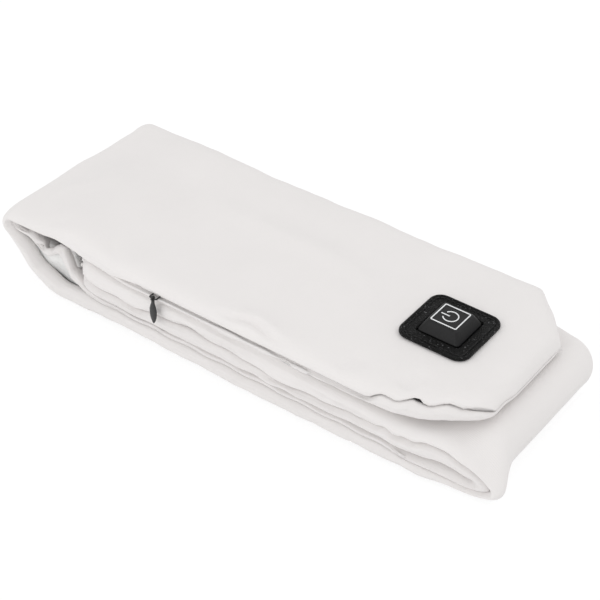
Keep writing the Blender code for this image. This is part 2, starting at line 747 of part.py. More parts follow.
def strand(name, points, radius, finish, group, closed=False):
    """A round strand through its points."""
    curve = bpy.data.curves.new(name, "CURVE")
    curve.dimensions = "3D"
    curve.bevel_depth = radius
    curve.bevel_resolution = STRAND_RESOLUTION
    curve.use_fill_caps = not closed
    spline = curve.splines.new("POLY")
    spline.points.add(len(points) - 1)
    for point, place in zip(spline.points, points):
        point.co = (*place, 1.0)
    spline.use_cyclic_u = closed
    return add_object(name, curve, finish, group)


def as_mesh(obj):
    """A curve object made a mesh with welded caps, so that it can be cut or joined."""
    graph = bpy.context.evaluated_depsgraph_get()
    mesh = bpy.data.meshes.new_from_object(obj.evaluated_get(graph))
    bm = bmesh.new()
    bm.from_mesh(mesh)
    bmesh.ops.remove_doubles(bm, verts=bm.verts, dist=WELD_DISTANCE)
    bmesh.ops.recalc_face_normals(bm, faces=bm.faces)
    bm.to_mesh(mesh)
    bm.free()
    name, group = obj.name, obj.users_collection[0]
    matrix = obj.matrix_basis.copy()
    bpy.data.objects.remove(obj)
    made = bpy.data.objects.new(name, mesh)
    made.matrix_basis = matrix
    group.objects.link(made)
    return made


def boolean(obj, other, operation):
    """Joins another object's shape to an object, or takes it out, and hides the other object."""
    other.hide_render = True
    other.display_type = "WIRE"
    modifier = obj.modifiers.new(operation.title(), "BOOLEAN")
    modifier.operation = operation
    modifier.solver = "EXACT"
    modifier.object = other


def loft(name, rings, finish, group):
    """A closed solid through rings of points, with a flat end on the first and on the last."""
    bm = bmesh.new()
    rows = [[bm.verts.new(point) for point in ring] for ring in rings]
    for low, high in zip(rows, rows[1:]):
        for k in range(len(low)):
            after = (k + 1) % len(low)
            bm.faces.new((low[k], low[after], high[after], high[k]))
    bm.faces.new(rows[0])
    bm.faces.new(rows[-1])
    return mesh_object(name, bm, finish, group)


def turned(name, profile, finish, group):
    """A solid of revolution about Z from a closed profile of radius and height, down its outer side first."""
    mesh = bpy.data.meshes.new(name)
    edges = [(k, (k + 1) % len(profile)) for k in range(len(profile))]
    mesh.from_pydata([(radius, 0.0, z) for radius, z in profile], edges, [])
    obj = add_object(name, mesh, finish, group)
    screw = obj.modifiers.new("Turn", "SCREW")
    screw.steps = ROUND_SEGMENTS
    screw.render_steps = ROUND_SEGMENTS
    screw.use_merge_vertices = True
    screw.merge_threshold = WELD_DISTANCE
    return obj


def pivot(name, place, group):
    """An empty on a moving piece's axis, which carries its pieces."""
    empty = bpy.data.objects.new(name, None)
    empty.empty_display_size = EMPTY_SIZE
    empty.location = place
    group.objects.link(empty)
    return empty


def make_covers(scarf, cutters):
    """The two cloths, with the control plate's hole in the face cloth."""
    face = cloth_panel("cover_face_panel", 1, "ivory_cloth", scarf)
    cloth_panel("cover_lining_panel", -1, "lining_cloth", scarf)
    side = BACK_SIDE + 2 * CLEARANCE
    size = (side, side, 2 * (CLOTH_THICKNESS + CUT_OVERRUN))
    hole = box("plate_hole", size, (CONTROLLER_X, AXIS_Y, CLOTH_TOP_Z), "ivory_cloth", cutters)
    boolean(face, hole, "DIFFERENCE")


def make_wadding(scarf, cutters):
    """The two filling sheets, with room for the pocket and the zip, and a window round the control plate."""
    back = POCKET_BACK_V + POCKET_ROOM_MARGIN
    front = -HALF_WIDTH - CUT_OVERRUN
    last_x = max(ZIP_LAST_X, COIL_FIRST_X + POCKET_LENGTH + POCKET_ROOM_MARGIN)
    size = (last_x - ZIP_FIRST_X, back - front, 2 * (POCKET_HALF_HEIGHT + CLEARANCE))
    centre = ((ZIP_FIRST_X + last_x) / 2, AXIS_Y + (back + front) / 2, TOP_Z)
    room = box("pocket_room", size, centre, "wadding", cutters)
    size = (WINDOW_LENGTH, WINDOW_BACK + WINDOW_FRONT, TOP_FACE_HEIGHT + CUT_OVERRUN)
    centre = (CONTROLLER_X, AXIS_Y + (WINDOW_BACK - WINDOW_FRONT) / 2, TOP_Z + size[2] / 2)
    window = box("plate_window", size, centre, "wadding", cutters)
    face = wadding_layer("wadding_face_layer", 1, scarf)
    boolean(face, room, "DIFFERENCE")
    boolean(face, window, "DIFFERENCE")
    boolean(wadding_layer("wadding_lining_layer", -1, scarf), room, "DIFFERENCE")


def make_plate(scarf, cutters):
    """The control plate on the cloth, its raised rim and the thread that sews it down."""
    hole = BUTTON_BASE_SIDE + 2 * CLEARANCE
    outer = rounded_outline(FLANGE_SIDE, FLANGE_SIDE, FLANGE_CORNER_RADIUS)
    inner = rounded_outline(hole, hole, BUTTON_CORNER_RADIUS + CLEARANCE)
    plate = flat_piece("controller_flange", (outer, inner), FLANGE_THICKNESS, "black_rubber", scarf)
    plate.location = (CONTROLLER_X, AXIS_Y, FLANGE_TOP_Z - FLANGE_THICKNESS / 2)
    rim_side = FLANGE_SIDE - 2 * FLANGE_RIM_WIDTH
    rim_inner = rounded_outline(rim_side, rim_side, FLANGE_CORNER_RADIUS - FLANGE_RIM_WIDTH)
    height = FLANGE_THICKNESS + FLANGE_RIM_HEIGHT
    rim = flat_piece("flange_rim", (outer, rim_inner), height, "black_rubber", cutters)
    rim.location = (CONTROLLER_X, AXIS_Y, FLANGE_TOP_Z + (FLANGE_RIM_HEIGHT - FLANGE_THICKNESS) / 2)
    boolean(as_mesh(plate), as_mesh(rim), "UNION")
    side = FLANGE_SIDE - 2 * STITCH_INSET
    height = FLANGE_TOP_Z + ICON_CLEARANCE + STITCH_RADIUS
    loop = rounded_outline(side, side, FLANGE_CORNER_RADIUS - STITCH_INSET)
    points = [(CONTROLLER_X + x, AXIS_Y + y, height) for x, y in loop]
    strand("controller_stitching", points, STITCH_RADIUS, "black_thread", scarf, closed=True)


def button_side(height):
    """The button's side at a height over the plate."""
    return BUTTON_BASE_SIDE - (BUTTON_BASE_SIDE - BUTTON_TOP_SIDE) * height / BUTTON_HEIGHT


def make_button(scarf):
    """The button, its lip under the plate, the lines on its top and the milky plate under it."""
    axis = pivot("button_axis", (CONTROLLER_X, AXIS_Y, FLANGE_TOP_Z), scarf)
    lip_top = -FLANGE_THICKNESS - CLEARANCE
    lip_bottom = lip_top - BUTTON_LIP_THICKNESS
    ceiling = BUTTON_HEIGHT - BUTTON_WALL
    inside = BUTTON_BASE_SIDE - 2 * BUTTON_WALL
    shoulder = BUTTON_HEIGHT - BUTTON_EDGE_ROUND
    sections = (
        (button_side(ceiling) - 2 * BUTTON_WALL, BUTTON_INNER_RADIUS, ceiling),
        (inside, BUTTON_INNER_RADIUS, 0.0),
        (inside, BUTTON_INNER_RADIUS, lip_bottom),
        (BUTTON_LIP_SIDE, BUTTON_CORNER_RADIUS, lip_bottom),
        (BUTTON_LIP_SIDE, BUTTON_CORNER_RADIUS, lip_top),
        (BUTTON_BASE_SIDE, BUTTON_CORNER_RADIUS, lip_top),
        (BUTTON_BASE_SIDE, BUTTON_CORNER_RADIUS, 0.0),
        (button_side(shoulder), BUTTON_CORNER_RADIUS, shoulder),
        (BUTTON_TOP_SIDE - 2 * BUTTON_EDGE_ROUND, BUTTON_CORNER_RADIUS, BUTTON_HEIGHT),
    )
    rings = [[(x, y, z) for x, y in rounded_outline(side, side, radius)] for side, radius, z in sections]
    cap = loft("button_cap", rings, "black_plastic", scarf)
    height = BUTTON_HEIGHT + ICON_CLEARANCE + ICON_THICKNESS / 2
    outer = rounded_outline(ICON_SIDE, ICON_SIDE, ICON_CORNER_RADIUS)
    hole = ICON_SIDE - 2 * ICON_LINE
    inner = rounded_outline(hole, hole, ICON_CORNER_RADIUS - ICON_LINE)
    frame = flat_piece("icon_frame", (outer, inner), ICON_THICKNESS, "icon_white", scarf)
    frame.location = (0.0, 0.0, height)
    ring = flat_piece("icon_ring", (ring_outline(),), ICON_THICKNESS, "icon_white", scarf)
    ring.location = (0.0, 0.0, height)
    size = (ICON_BAR_LENGTH, ICON_LINE, ICON_THICKNESS)
    bar = box("icon_bar", size, (-ICON_BAR_START - ICON_BAR_LENGTH / 2, 0.0, height), "icon_white", scarf)
    size = (DIFFUSER_SIDE, DIFFUSER_SIDE, DIFFUSER_THICKNESS)
    under = ceiling - CLEARANCE - DIFFUSER_THICKNESS / 2
    diffuser = box("light_diffuser", size, (0.0, 0.0, under), "milky_plastic", scarf)
    for piece in (cap, frame, ring, bar, diffuser):
        piece.parent = axis


def ring_outline():
    """The power sign's ring, open toward -X: along its outer side and back along its inner side."""
    first = math.pi + ICON_GAP_ANGLE / 2
    turn = 2 * math.pi - ICON_GAP_ANGLE
    count = 2 * ROUND_SEGMENTS
    found = []
    sides = ((ICON_RING_RADIUS + ICON_LINE / 2, 1), (ICON_RING_RADIUS - ICON_LINE / 2, -1))
    for radius, order in sides:
        arc = [first + turn * k / count for k in range(count + 1)][::order]
        found += [(radius * math.cos(angle), radius * math.sin(angle)) for angle in arc]
    return found


def make_circuit(scarf, cutters):
    """The tray behind the plate, with its cable outlets, and the circuit in it."""
    size = (BACK_SIDE, BACK_SIDE, BACK_DEPTH)
    tray = open_box("controller_back", size, BACK_WALL, (0, 0, 1), "black_plastic", scarf)
    tray.location = (CONTROLLER_X, AXIS_Y, CLOTH_TOP_Z - BACK_DEPTH / 2)
    wall_y = AXIS_Y + (BACK_SIDE - BACK_WALL) / 2
    for name, x, radius in OUTLETS:
        bore = radius + CLEARANCE
        place = (CONTROLLER_X + x, wall_y, OUTLET_Z)
        boolean(tray, cylinder(name, bore, 2 * BACK_WALL, place, "Y", "black_plastic", cutters), "DIFFERENCE")
    board_z = CLOTH_TOP_Z - BACK_DEPTH + BACK_WALL + CLEARANCE + BOARD_THICKNESS / 2
    size = (BOARD_SIDE, BOARD_SIDE, BOARD_THICKNESS)
    box("circuit_board", size, (CONTROLLER_X, AXIS_Y, board_z), "board_green", scarf)
    top = board_z + BOARD_THICKNESS / 2 + SOLDER_GAP
    place = (CONTROLLER_X, AXIS_Y, top + SWITCH_HEIGHT / 2)
    switch = box("tact_switch", (SWITCH_SIDE, SWITCH_SIDE, SWITCH_HEIGHT), place, "switch_steel", scarf)
    bore_depth = SWITCH_HEIGHT - SWITCH_FLOOR
    place = (CONTROLLER_X, AXIS_Y, top + SWITCH_FLOOR + (bore_depth + CUT_OVERRUN) / 2)
    length = bore_depth + CUT_OVERRUN
    bore = cylinder("switch_bore", PLUNGER_RADIUS + CLEARANCE, length, place, "Z", "switch_steel", cutters)
    boolean(switch, bore, "DIFFERENCE")
    foot = top + SWITCH_FLOOR + BUTTON_TRAVEL + CLEARANCE
    head = FLANGE_TOP_Z + BUTTON_HEIGHT - BUTTON_WALL - DIFFUSER_THICKNESS - 2 * CLEARANCE
    place = (CONTROLLER_X, AXIS_Y, (foot + head) / 2)
    cylinder("switch_plunger", PLUNGER_RADIUS, head - foot, place, "Z", "black_plastic", scarf)
    for k, name in enumerate(("led_low", "led_middle", "led_high")):
        place = (CONTROLLER_X + LED_OFFSET, AXIS_Y + (k - 1) * LED_PITCH, top + LED_HEIGHT / 2)
        box(name, (LED_LENGTH, LED_WIDTH, LED_HEIGHT), place, "led_clear", scarf)
    place = (CONTROLLER_X - CHIP_OFFSET, AXIS_Y, top + CHIP_HEIGHT / 2)
    box("control_chip", (CHIP_SIDE, CHIP_SIDE, CHIP_HEIGHT), place, "chip_black", scarf)
    place = (CONTROLLER_X, AXIS_Y - CHIP_OFFSET, top + TRANSISTOR_HEIGHT / 2)
    size = (TRANSISTOR_LENGTH, TRANSISTOR_WIDTH, TRANSISTOR_HEIGHT)
    box("power_transistor", size, place, "chip_black", scarf)


def tape_outline(side):
    """A zip tape's section, flat behind the coil, then spread to the pocket: x from the front, y up."""
    front = COIL_DEPTH + COIL_RADIUS + CLEARANCE
    end = POCKET_FRONT_DEPTH - CLEARANCE
    low = COIL_OFFSET - TAPE_THICKNESS / 2
    high = POCKET_INNER_HEIGHT / 2
    under = [(front, low), (front + TAPE_FLAT_WIDTH, low), (end - TAPE_FLAT_WIDTH / 2, high), (end, high)]
    over = [(x, y + TAPE_THICKNESS) for x, y in reversed(under)]
    return [(x, side * y) for x, y in under + over]


def make_zip(scarf, cutters):
    """The concealed zip behind the front seam: two tapes, two coils, the stops, the slider and its pull."""
    long_x = COIL_LAST_X - COIL_FIRST_X
    middle_x = (COIL_LAST_X + COIL_FIRST_X) / 2
    for name, side in (("upper", 1), ("lower", -1)):
        place = (middle_x, FRONT_Y + COIL_DEPTH, TOP_Z + side * COIL_OFFSET)
        cylinder("zip_coil_" + name, COIL_RADIUS, long_x, place, "X", "zip_white", scarf)
        outline = tape_outline(side)
        tape = flat_piece("zip_tape_" + name, (outline,), ZIP_LENGTH - 2 * CLEARANCE, "zip_white", scarf)
        tape.location = ((ZIP_FIRST_X + ZIP_LAST_X) / 2, FRONT_Y, TOP_Z)
        tape.rotation_euler = SECTION_TURN
    size = (STOP_LENGTH, STOP_THICKNESS, 2 * (COIL_OFFSET + COIL_RADIUS))
    for name, x in (("closed", COIL_FIRST_X), ("open", COIL_LAST_X + 2 * CLEARANCE + STOP_LENGTH)):
        y = FRONT_Y + COIL_DEPTH - COIL_RADIUS + STOP_THICKNESS / 2
        place = (x - CLEARANCE - STOP_LENGTH / 2, y, TOP_Z)
        box("zip_stop_" + name, size, place, "zip_white", scarf)
    make_slider(scarf, cutters)
    make_pull(scarf, cutters)


def make_slider(scarf, cutters):
    """The slider: a plate, two flanges round the coils, and two ears through the seam with the pull's pin."""
    half = COIL_OFFSET + COIL_RADIUS + CLEARANCE + SLIDER_FLANGE
    back = COIL_DEPTH - COIL_RADIUS - CLEARANCE
    place = Vector((ZIP_CLOSED_X, FRONT_Y + back - SLIDER_PLATE / 2, TOP_Z))
    slider = box("zip_slider", (SLIDER_LENGTH, SLIDER_PLATE, 2 * half), place, "zip_black", scarf)
    reach = SLIDER_PLATE / 2 + SLIDER_FLANGE_REACH
    for side in (1, -1):
        size = (SLIDER_LENGTH, reach, SLIDER_FLANGE)
        centre = place + Vector((0, reach / 2, side * (half - SLIDER_FLANGE / 2)))
        boolean(slider, box("slider_flange", size, centre, "zip_black", cutters), "UNION")
        reach_out = SLIDER_PLATE / 2 + BAIL_REACH
        size = (BAIL_EAR, reach_out, BAIL_EAR_HEIGHT)
        centre = place + Vector((side * (BAIL_GAP + BAIL_EAR) / 2, -reach_out / 2, 0))
        boolean(slider, box("slider_ear", size, centre, "zip_black", cutters), "UNION")
    pin_place = (ZIP_CLOSED_X, PIN_Y, TOP_Z)
    pin = cylinder("slider_pin", BAIL_PIN_RADIUS, BAIL_GAP + BAIL_EAR, pin_place, "X", "zip_black", cutters)
    boolean(slider, pin, "UNION")


def pull_outline():
    """The pull's outline from its eye down: a neck and an almond."""
    neck = PULL_NECK_WIDTH / 2
    almond = PULL_LENGTH - PULL_EYE_RADIUS - PULL_NECK_LENGTH
    right = [(neck, 0.0), (neck, -PULL_NECK_LENGTH)]
    right += [(PULL_WIDTH / 2 * wide, -PULL_NECK_LENGTH - almond * down) for down, wide in PULL_SHARES]
    tip = [(0.0, -PULL_NECK_LENGTH - almond)]
    return right + tip + [(-x, z) for x, z in reversed(right)]


def make_pull(scarf, cutters):
    """The pull, which hangs from the slider's pin by its eye."""
    place = (ZIP_CLOSED_X, PIN_Y, TOP_Z)
    pull = flat_piece("zip_pull", (pull_outline(),), PULL_THICKNESS, "zip_black", scarf)
    pull.location = place
    pull.rotation_euler = TURNS["Y"]
    pull = as_mesh(pull)
    eye = cylinder("pull_eye", PULL_EYE_RADIUS, PULL_NECK_WIDTH, place, "X", "zip_black", cutters)
    bore = cylinder("pull_bore", PULL_EYE_BORE, PULL_WIDTH, place, "X", "zip_black", cutters)
    boolean(pull, eye, "UNION")
    boolean(pull, bore, "DIFFERENCE")


def make_pocket(scarf, cutters):
    """The battery pocket behind the zip, and the rubber gland in its back wall."""
    size = (POCKET_LENGTH, POCKET_DEPTH, 2 * POCKET_HALF_HEIGHT)
    bag = open_box("pocket_bag", size, POCKET_CLOTH, (0, -1, 0), "lining_cloth", scarf)
    bag.location = (COIL_FIRST_X + POCKET_LENGTH / 2, AXIS_Y + (POCKET_FRONT_V + POCKET_BACK_V) / 2, TOP_Z)
    back_y = AXIS_Y + POCKET_BACK_V
    bore = GLAND_RADIUS + CLEARANCE
    place = (GLAND_X, back_y, TOP_Z)
    hole = cylinder("gland_hole", bore, 4 * POCKET_CLOTH, place, "Y", "lining_cloth", cutters)
    boolean(bag, hole, "DIFFERENCE")
    depth = POCKET_CLOTH + CLEARANCE
    inner = SUPPLY_LEAD_RADIUS + CLEARANCE
    profile = (
        (GLAND_FLANGE_RADIUS, depth + GLAND_FLANGE),
        (GLAND_FLANGE_RADIUS, depth),
        (GLAND_RADIUS, depth),
        (GLAND_RADIUS, 0.0),
        (inner, 0.0),
        (inner, depth + GLAND_FLANGE),
    )
    gland = turned("lead_gland", profile, "black_rubber", scarf)
    gland.location = (GLAND_X, back_y - POCKET_CLOTH, TOP_Z)
    gland.rotation_euler = BACKWARD_TURN


def make_pad(scarf):
    """The heating pad: two thin sheets, and the wire laid to and fro between them."""
    centre_x = PAD_X + PAD_LENGTH / 2
    for name, side in (("heater_carrier", -1), ("heater_cover", 1)):
        place = (centre_x, AXIS_Y, BOTTOM_Z + side * PAD_SHEET_OFFSET)
        box(name, (PAD_LENGTH, PAD_WIDTH, PAD_SHEET), place, "pad_fleece", scarf)
    first = PAD_X - CLEARANCE
    near, far = PAD_X + PAD_END_MARGIN, PAD_X + PAD_LENGTH - PAD_END_MARGIN
    radius = WIRE_PITCH / 2
    points = [(first, WIRE_LANE)]
    for run in range(WIRE_RUNS):
        v = WIRE_LANE - run * WIRE_PITCH
        x, way = (far, 1) if run % 2 == 0 else (near, -1)
        if run == WIRE_RUNS - 1:
            points += [(first, v)]
            break
        for k in range(TURN_STEPS + 1):
            angle = math.pi * k / TURN_STEPS
            points.append((x + way * radius * math.sin(angle), v - radius * (1 - math.cos(angle))))
    places = [(x, AXIS_Y + v, BOTTOM_Z) for x, v in points]
    strand("heating_wire", places, WIRE_RADIUS, "carbon_wire", scarf)


def curve_point(first, last, start, end, share):
    """A point on the smooth curve between two places with the directions given there."""
    reach = (last - first).length
    square, cube = share * share, share * share * share
    found = first * (2 * cube - 3 * square + 1) + last * (3 * square - 2 * cube)
    return found + (start * (cube - 2 * square + share) + end * (cube - square)) * reach


def route_points(route):
    """The points of a lead in the row frame, from its route set out flat. A long run follows the folds."""
    places = [Vector(place) for place in route]
    ways = [(after - before).normalized() for before, after in zip(places, places[2:])]
    ways = [(places[1] - places[0]).normalized()] + ways + [(places[-1] - places[-2]).normalized()]
    found = [places[0]]
    for k in range(len(places) - 1):
        first, last = places[k], places[k + 1]
        if (last - first).length > LONG_RUN:
            found += [Vector((s, first.y, first.z)) for s, _, _ in STATIONS if first.x < s < last.x]
            found.append(last)
            continue
        for step in range(LEAD_STEPS):
            found.append(curve_point(first, last, ways[k], ways[k + 1], (step + 1) / LEAD_STEPS))
    return [laid(*place) for place in found]


def across(share, first, last):
    return first + (last - first) * share


def out_route(route, shares, first, last):
    """The points of a lead's way out of the tray, which goes across from first to last."""
    return [(s, across(share, first, last), n) for (s, n), share in zip(route, shares)]


def pad_route(route, shares, first, last):
    """The points of a lead's way to the pad, which goes across from first to last."""
    return [(PAD_S - back, across(share, first, last), 0.0) for back, share in zip(route, shares)]


def make_leads(scarf):
    """The leads, from the pocket to the control plate and on to the pad, with the cut-out and the splices."""
    outlet = (BACK_SIDE / 2 - BACK_WALL, OUTLET_Z - TOP_Z)
    sleeve_end = PAD_X - 2 * CLEARANCE
    low_lane = WIRE_LANE - (WIRE_RUNS - 1) * WIRE_PITCH
    for name, lane in (("splice_sleeve_a", WIRE_LANE), ("splice_sleeve_b", low_lane)):
        place = (sleeve_end - SLEEVE_LENGTH / 2, AXIS_Y + lane, BOTTOM_Z)
        cylinder(name, SLEEVE_RADIUS, SLEEVE_LENGTH, place, "X", "milky_plastic", scarf)
    cutoff_end = sleeve_end - SLEEVE_LENGTH - CLEARANCE
    place = (cutoff_end - CUTOFF_LENGTH / 2, AXIS_Y + WIRE_LANE, BOTTOM_Z)
    cylinder("thermal_cutoff", CUTOFF_RADIUS, CUTOFF_LENGTH, place, "X", "switch_steel", scarf)
    end_a = PAD_S - 4 * CLEARANCE - SLEEVE_LENGTH - CUTOFF_LENGTH
    end_b = PAD_S - 3 * CLEARANCE - SLEEVE_LENGTH
    start_a = (CONTROLLER_FROM_END - LEAD_A_OUTLET, *outlet)
    start_b = (CONTROLLER_FROM_END - LEAD_B_OUTLET, *outlet)
    wall = outlet[0]
    route = out_route(LEAD_A_ROUTE, LEAD_A_ACROSS_SHARES, wall, LEAD_A_LANE)
    route += pad_route(LEAD_A_PAD_ROUTE, LEAD_A_PAD_SHARES, LEAD_A_LANE, WIRE_LANE)
    points = route_points((start_a, *route, (end_a, WIRE_LANE, 0.0)))
    strand("heater_lead_a", points, LEAD_RADIUS, "red_lead", scarf)
    route = out_route(LEAD_B_ROUTE, LEAD_B_ACROSS_SHARES, wall, LEAD_B_LANE)
    route += pad_route(LEAD_B_PAD_ROUTE, LEAD_B_PAD_SHARES, LEAD_B_LANE, low_lane)
    points = route_points((start_b, *route, (end_b, low_lane, 0.0)))
    strand("heater_lead_b", points, LEAD_RADIUS, "black_lead", scarf)
    start = (CONTROL_END_X - GLAND_X, POCKET_BACK_V - POCKET_CLOTH, 0.0)
    route = out_route(SUPPLY_ROUTE, SUPPLY_ACROSS_SHARES, wall, SUPPLY_LANE)
    points = route_points((start, *route, (CONTROLLER_FROM_END - SUPPLY_OUTLET, *outlet)))
    strand("supply_lead", points, SUPPLY_LEAD_RADIUS, "black_lead", scarf)


def remove_startup_objects():
    for obj in list(bpy.data.objects):
        bpy.data.objects.remove(obj, do_unlink=True)


def main():
    remove_startup_objects()
    scarf = collection("Heated neck scarf")
    cutters = collection("Cutters")
    make_covers(scarf, cutters)
    make_wadding(scarf, cutters)
    make_plate(scarf, cutters)
    make_button(scarf)
    make_circuit(scarf, cutters)
    make_zip(scarf, cutters)
    make_pocket(scarf, cutters)
    make_pad(scarf)
    make_leads(scarf)


main()
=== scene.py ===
"""Looks of the folded heated neck scarf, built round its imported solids.

The soft pieces are set out flat, by distance along the scarf (s), place across it (v) and height out of
it (n), and are then laid along the line of the folds. Lengths are in metres, in the row frame.
"""

from __future__ import annotations

import json
import logging
import math
from collections.abc import Iterable, Sequence
from dataclasses import dataclass, field
from enum import Enum
from typing import Any

import bmesh
import bpy
import numpy as np
from mathutils import Matrix, Vector, noise

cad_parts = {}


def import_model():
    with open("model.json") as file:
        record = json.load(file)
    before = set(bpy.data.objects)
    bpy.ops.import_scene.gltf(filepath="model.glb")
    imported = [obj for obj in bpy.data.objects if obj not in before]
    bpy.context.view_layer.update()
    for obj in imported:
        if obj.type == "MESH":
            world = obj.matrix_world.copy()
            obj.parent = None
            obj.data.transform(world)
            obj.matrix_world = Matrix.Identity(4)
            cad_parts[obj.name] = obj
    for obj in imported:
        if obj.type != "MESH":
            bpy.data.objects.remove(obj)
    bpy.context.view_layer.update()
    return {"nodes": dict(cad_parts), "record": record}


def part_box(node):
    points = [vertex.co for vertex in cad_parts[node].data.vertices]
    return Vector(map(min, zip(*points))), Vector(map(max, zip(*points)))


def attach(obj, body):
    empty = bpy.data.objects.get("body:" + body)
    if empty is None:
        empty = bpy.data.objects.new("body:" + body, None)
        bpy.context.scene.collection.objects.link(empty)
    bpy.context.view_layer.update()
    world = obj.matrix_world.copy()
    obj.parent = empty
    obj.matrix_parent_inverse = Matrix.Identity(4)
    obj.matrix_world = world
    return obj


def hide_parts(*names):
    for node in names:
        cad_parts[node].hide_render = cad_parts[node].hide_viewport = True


LOG = logging.getLogger("neck_scarf")
FLAT_PLACE = "flat_place"
# colour of the painted glint specks on the rubber plate
PAINTED_GLINT_COLOUR = (0.30, 0.30, 0.31, 1.0)
WHITE = (1.0, 1.0, 1.0, 1.0)

Colour = tuple[float, float, float]
Place = tuple[float, float, float]
Pair = tuple[float, float]
Knots = tuple[Pair, ...]


class Side(Enum):
    """A cloth of the tube, by the side of the seam plane that it lies on."""

    FACE = 1
    LINING = -1


def smooth_step(value: Any, first: float, last: float) -> np.ndarray:
    """Gives a smooth rise from 0 to 1.

    Args:
        value: Where the rise is read.
        first: Where it leaves 0.
        last: Where it reaches 1.

    Returns:
        The share of the rise at each value.
    """
    share = np.clip((np.asarray(value, float) - first) / (last - first), 0.0, 1.0)
    return share * share * (3 - 2 * share)


def bell(value: Any, middle: float, width: float) -> np.ndarray:
    """Gives a bell of height 1, which falls to about a third one width away from its middle."""
    return np.exp(-(((np.asarray(value, float) - middle) / width) ** 2))


def between(s: Any, knots: Sequence[Pair]) -> np.ndarray:
    """Gives a value that goes smoothly from knot to knot, each a place and its value."""
    s = np.asarray(s, float)
    value = np.full(s.shape, knots[0][1])
    for (first, before), (last, after) in zip(knots, knots[1:]):
        value = value + (after - before) * smooth_step(s, first, last)
    return value


@dataclass(frozen=True)
class Waves:
    """Smooth noise over flat places: its height, the length and width of a feature, and a seed."""

    height: float
    along: float
    across: float
    seed: float

    def relief(self, s: np.ndarray, v: np.ndarray) -> np.ndarray:
        """Gives the noise at places, from about minus its height to its height."""
        flat = []
        for a, b in zip(s.ravel(), v.ravel()):
            flat.append(noise.noise((a / self.along + self.seed, b / self.across - self.seed, self.seed)))
        return self.height * np.array(flat).reshape(s.shape)


@dataclass(frozen=True)
class Run:
    """One run of the fold line: where it starts, how it bends, and its first place and heading."""

    start: float
    curvature: float
    x: float
    z: float
    heading: float

    def at(self, s: np.ndarray) -> tuple[np.ndarray, np.ndarray, np.ndarray]:
        """Gives x, z and heading at distances along the scarf."""
        along = s - self.start
        if self.curvature == 0:
            x = self.x + along * math.cos(self.heading)
            return x, self.z + along * math.sin(self.heading), 0 * s + self.heading
        after = self.heading + along * self.curvature
        x = self.x + (np.sin(after) - math.sin(self.heading)) / self.curvature
        z = self.z + (math.cos(self.heading) - np.cos(after)) / self.curvature
        return x, z, after


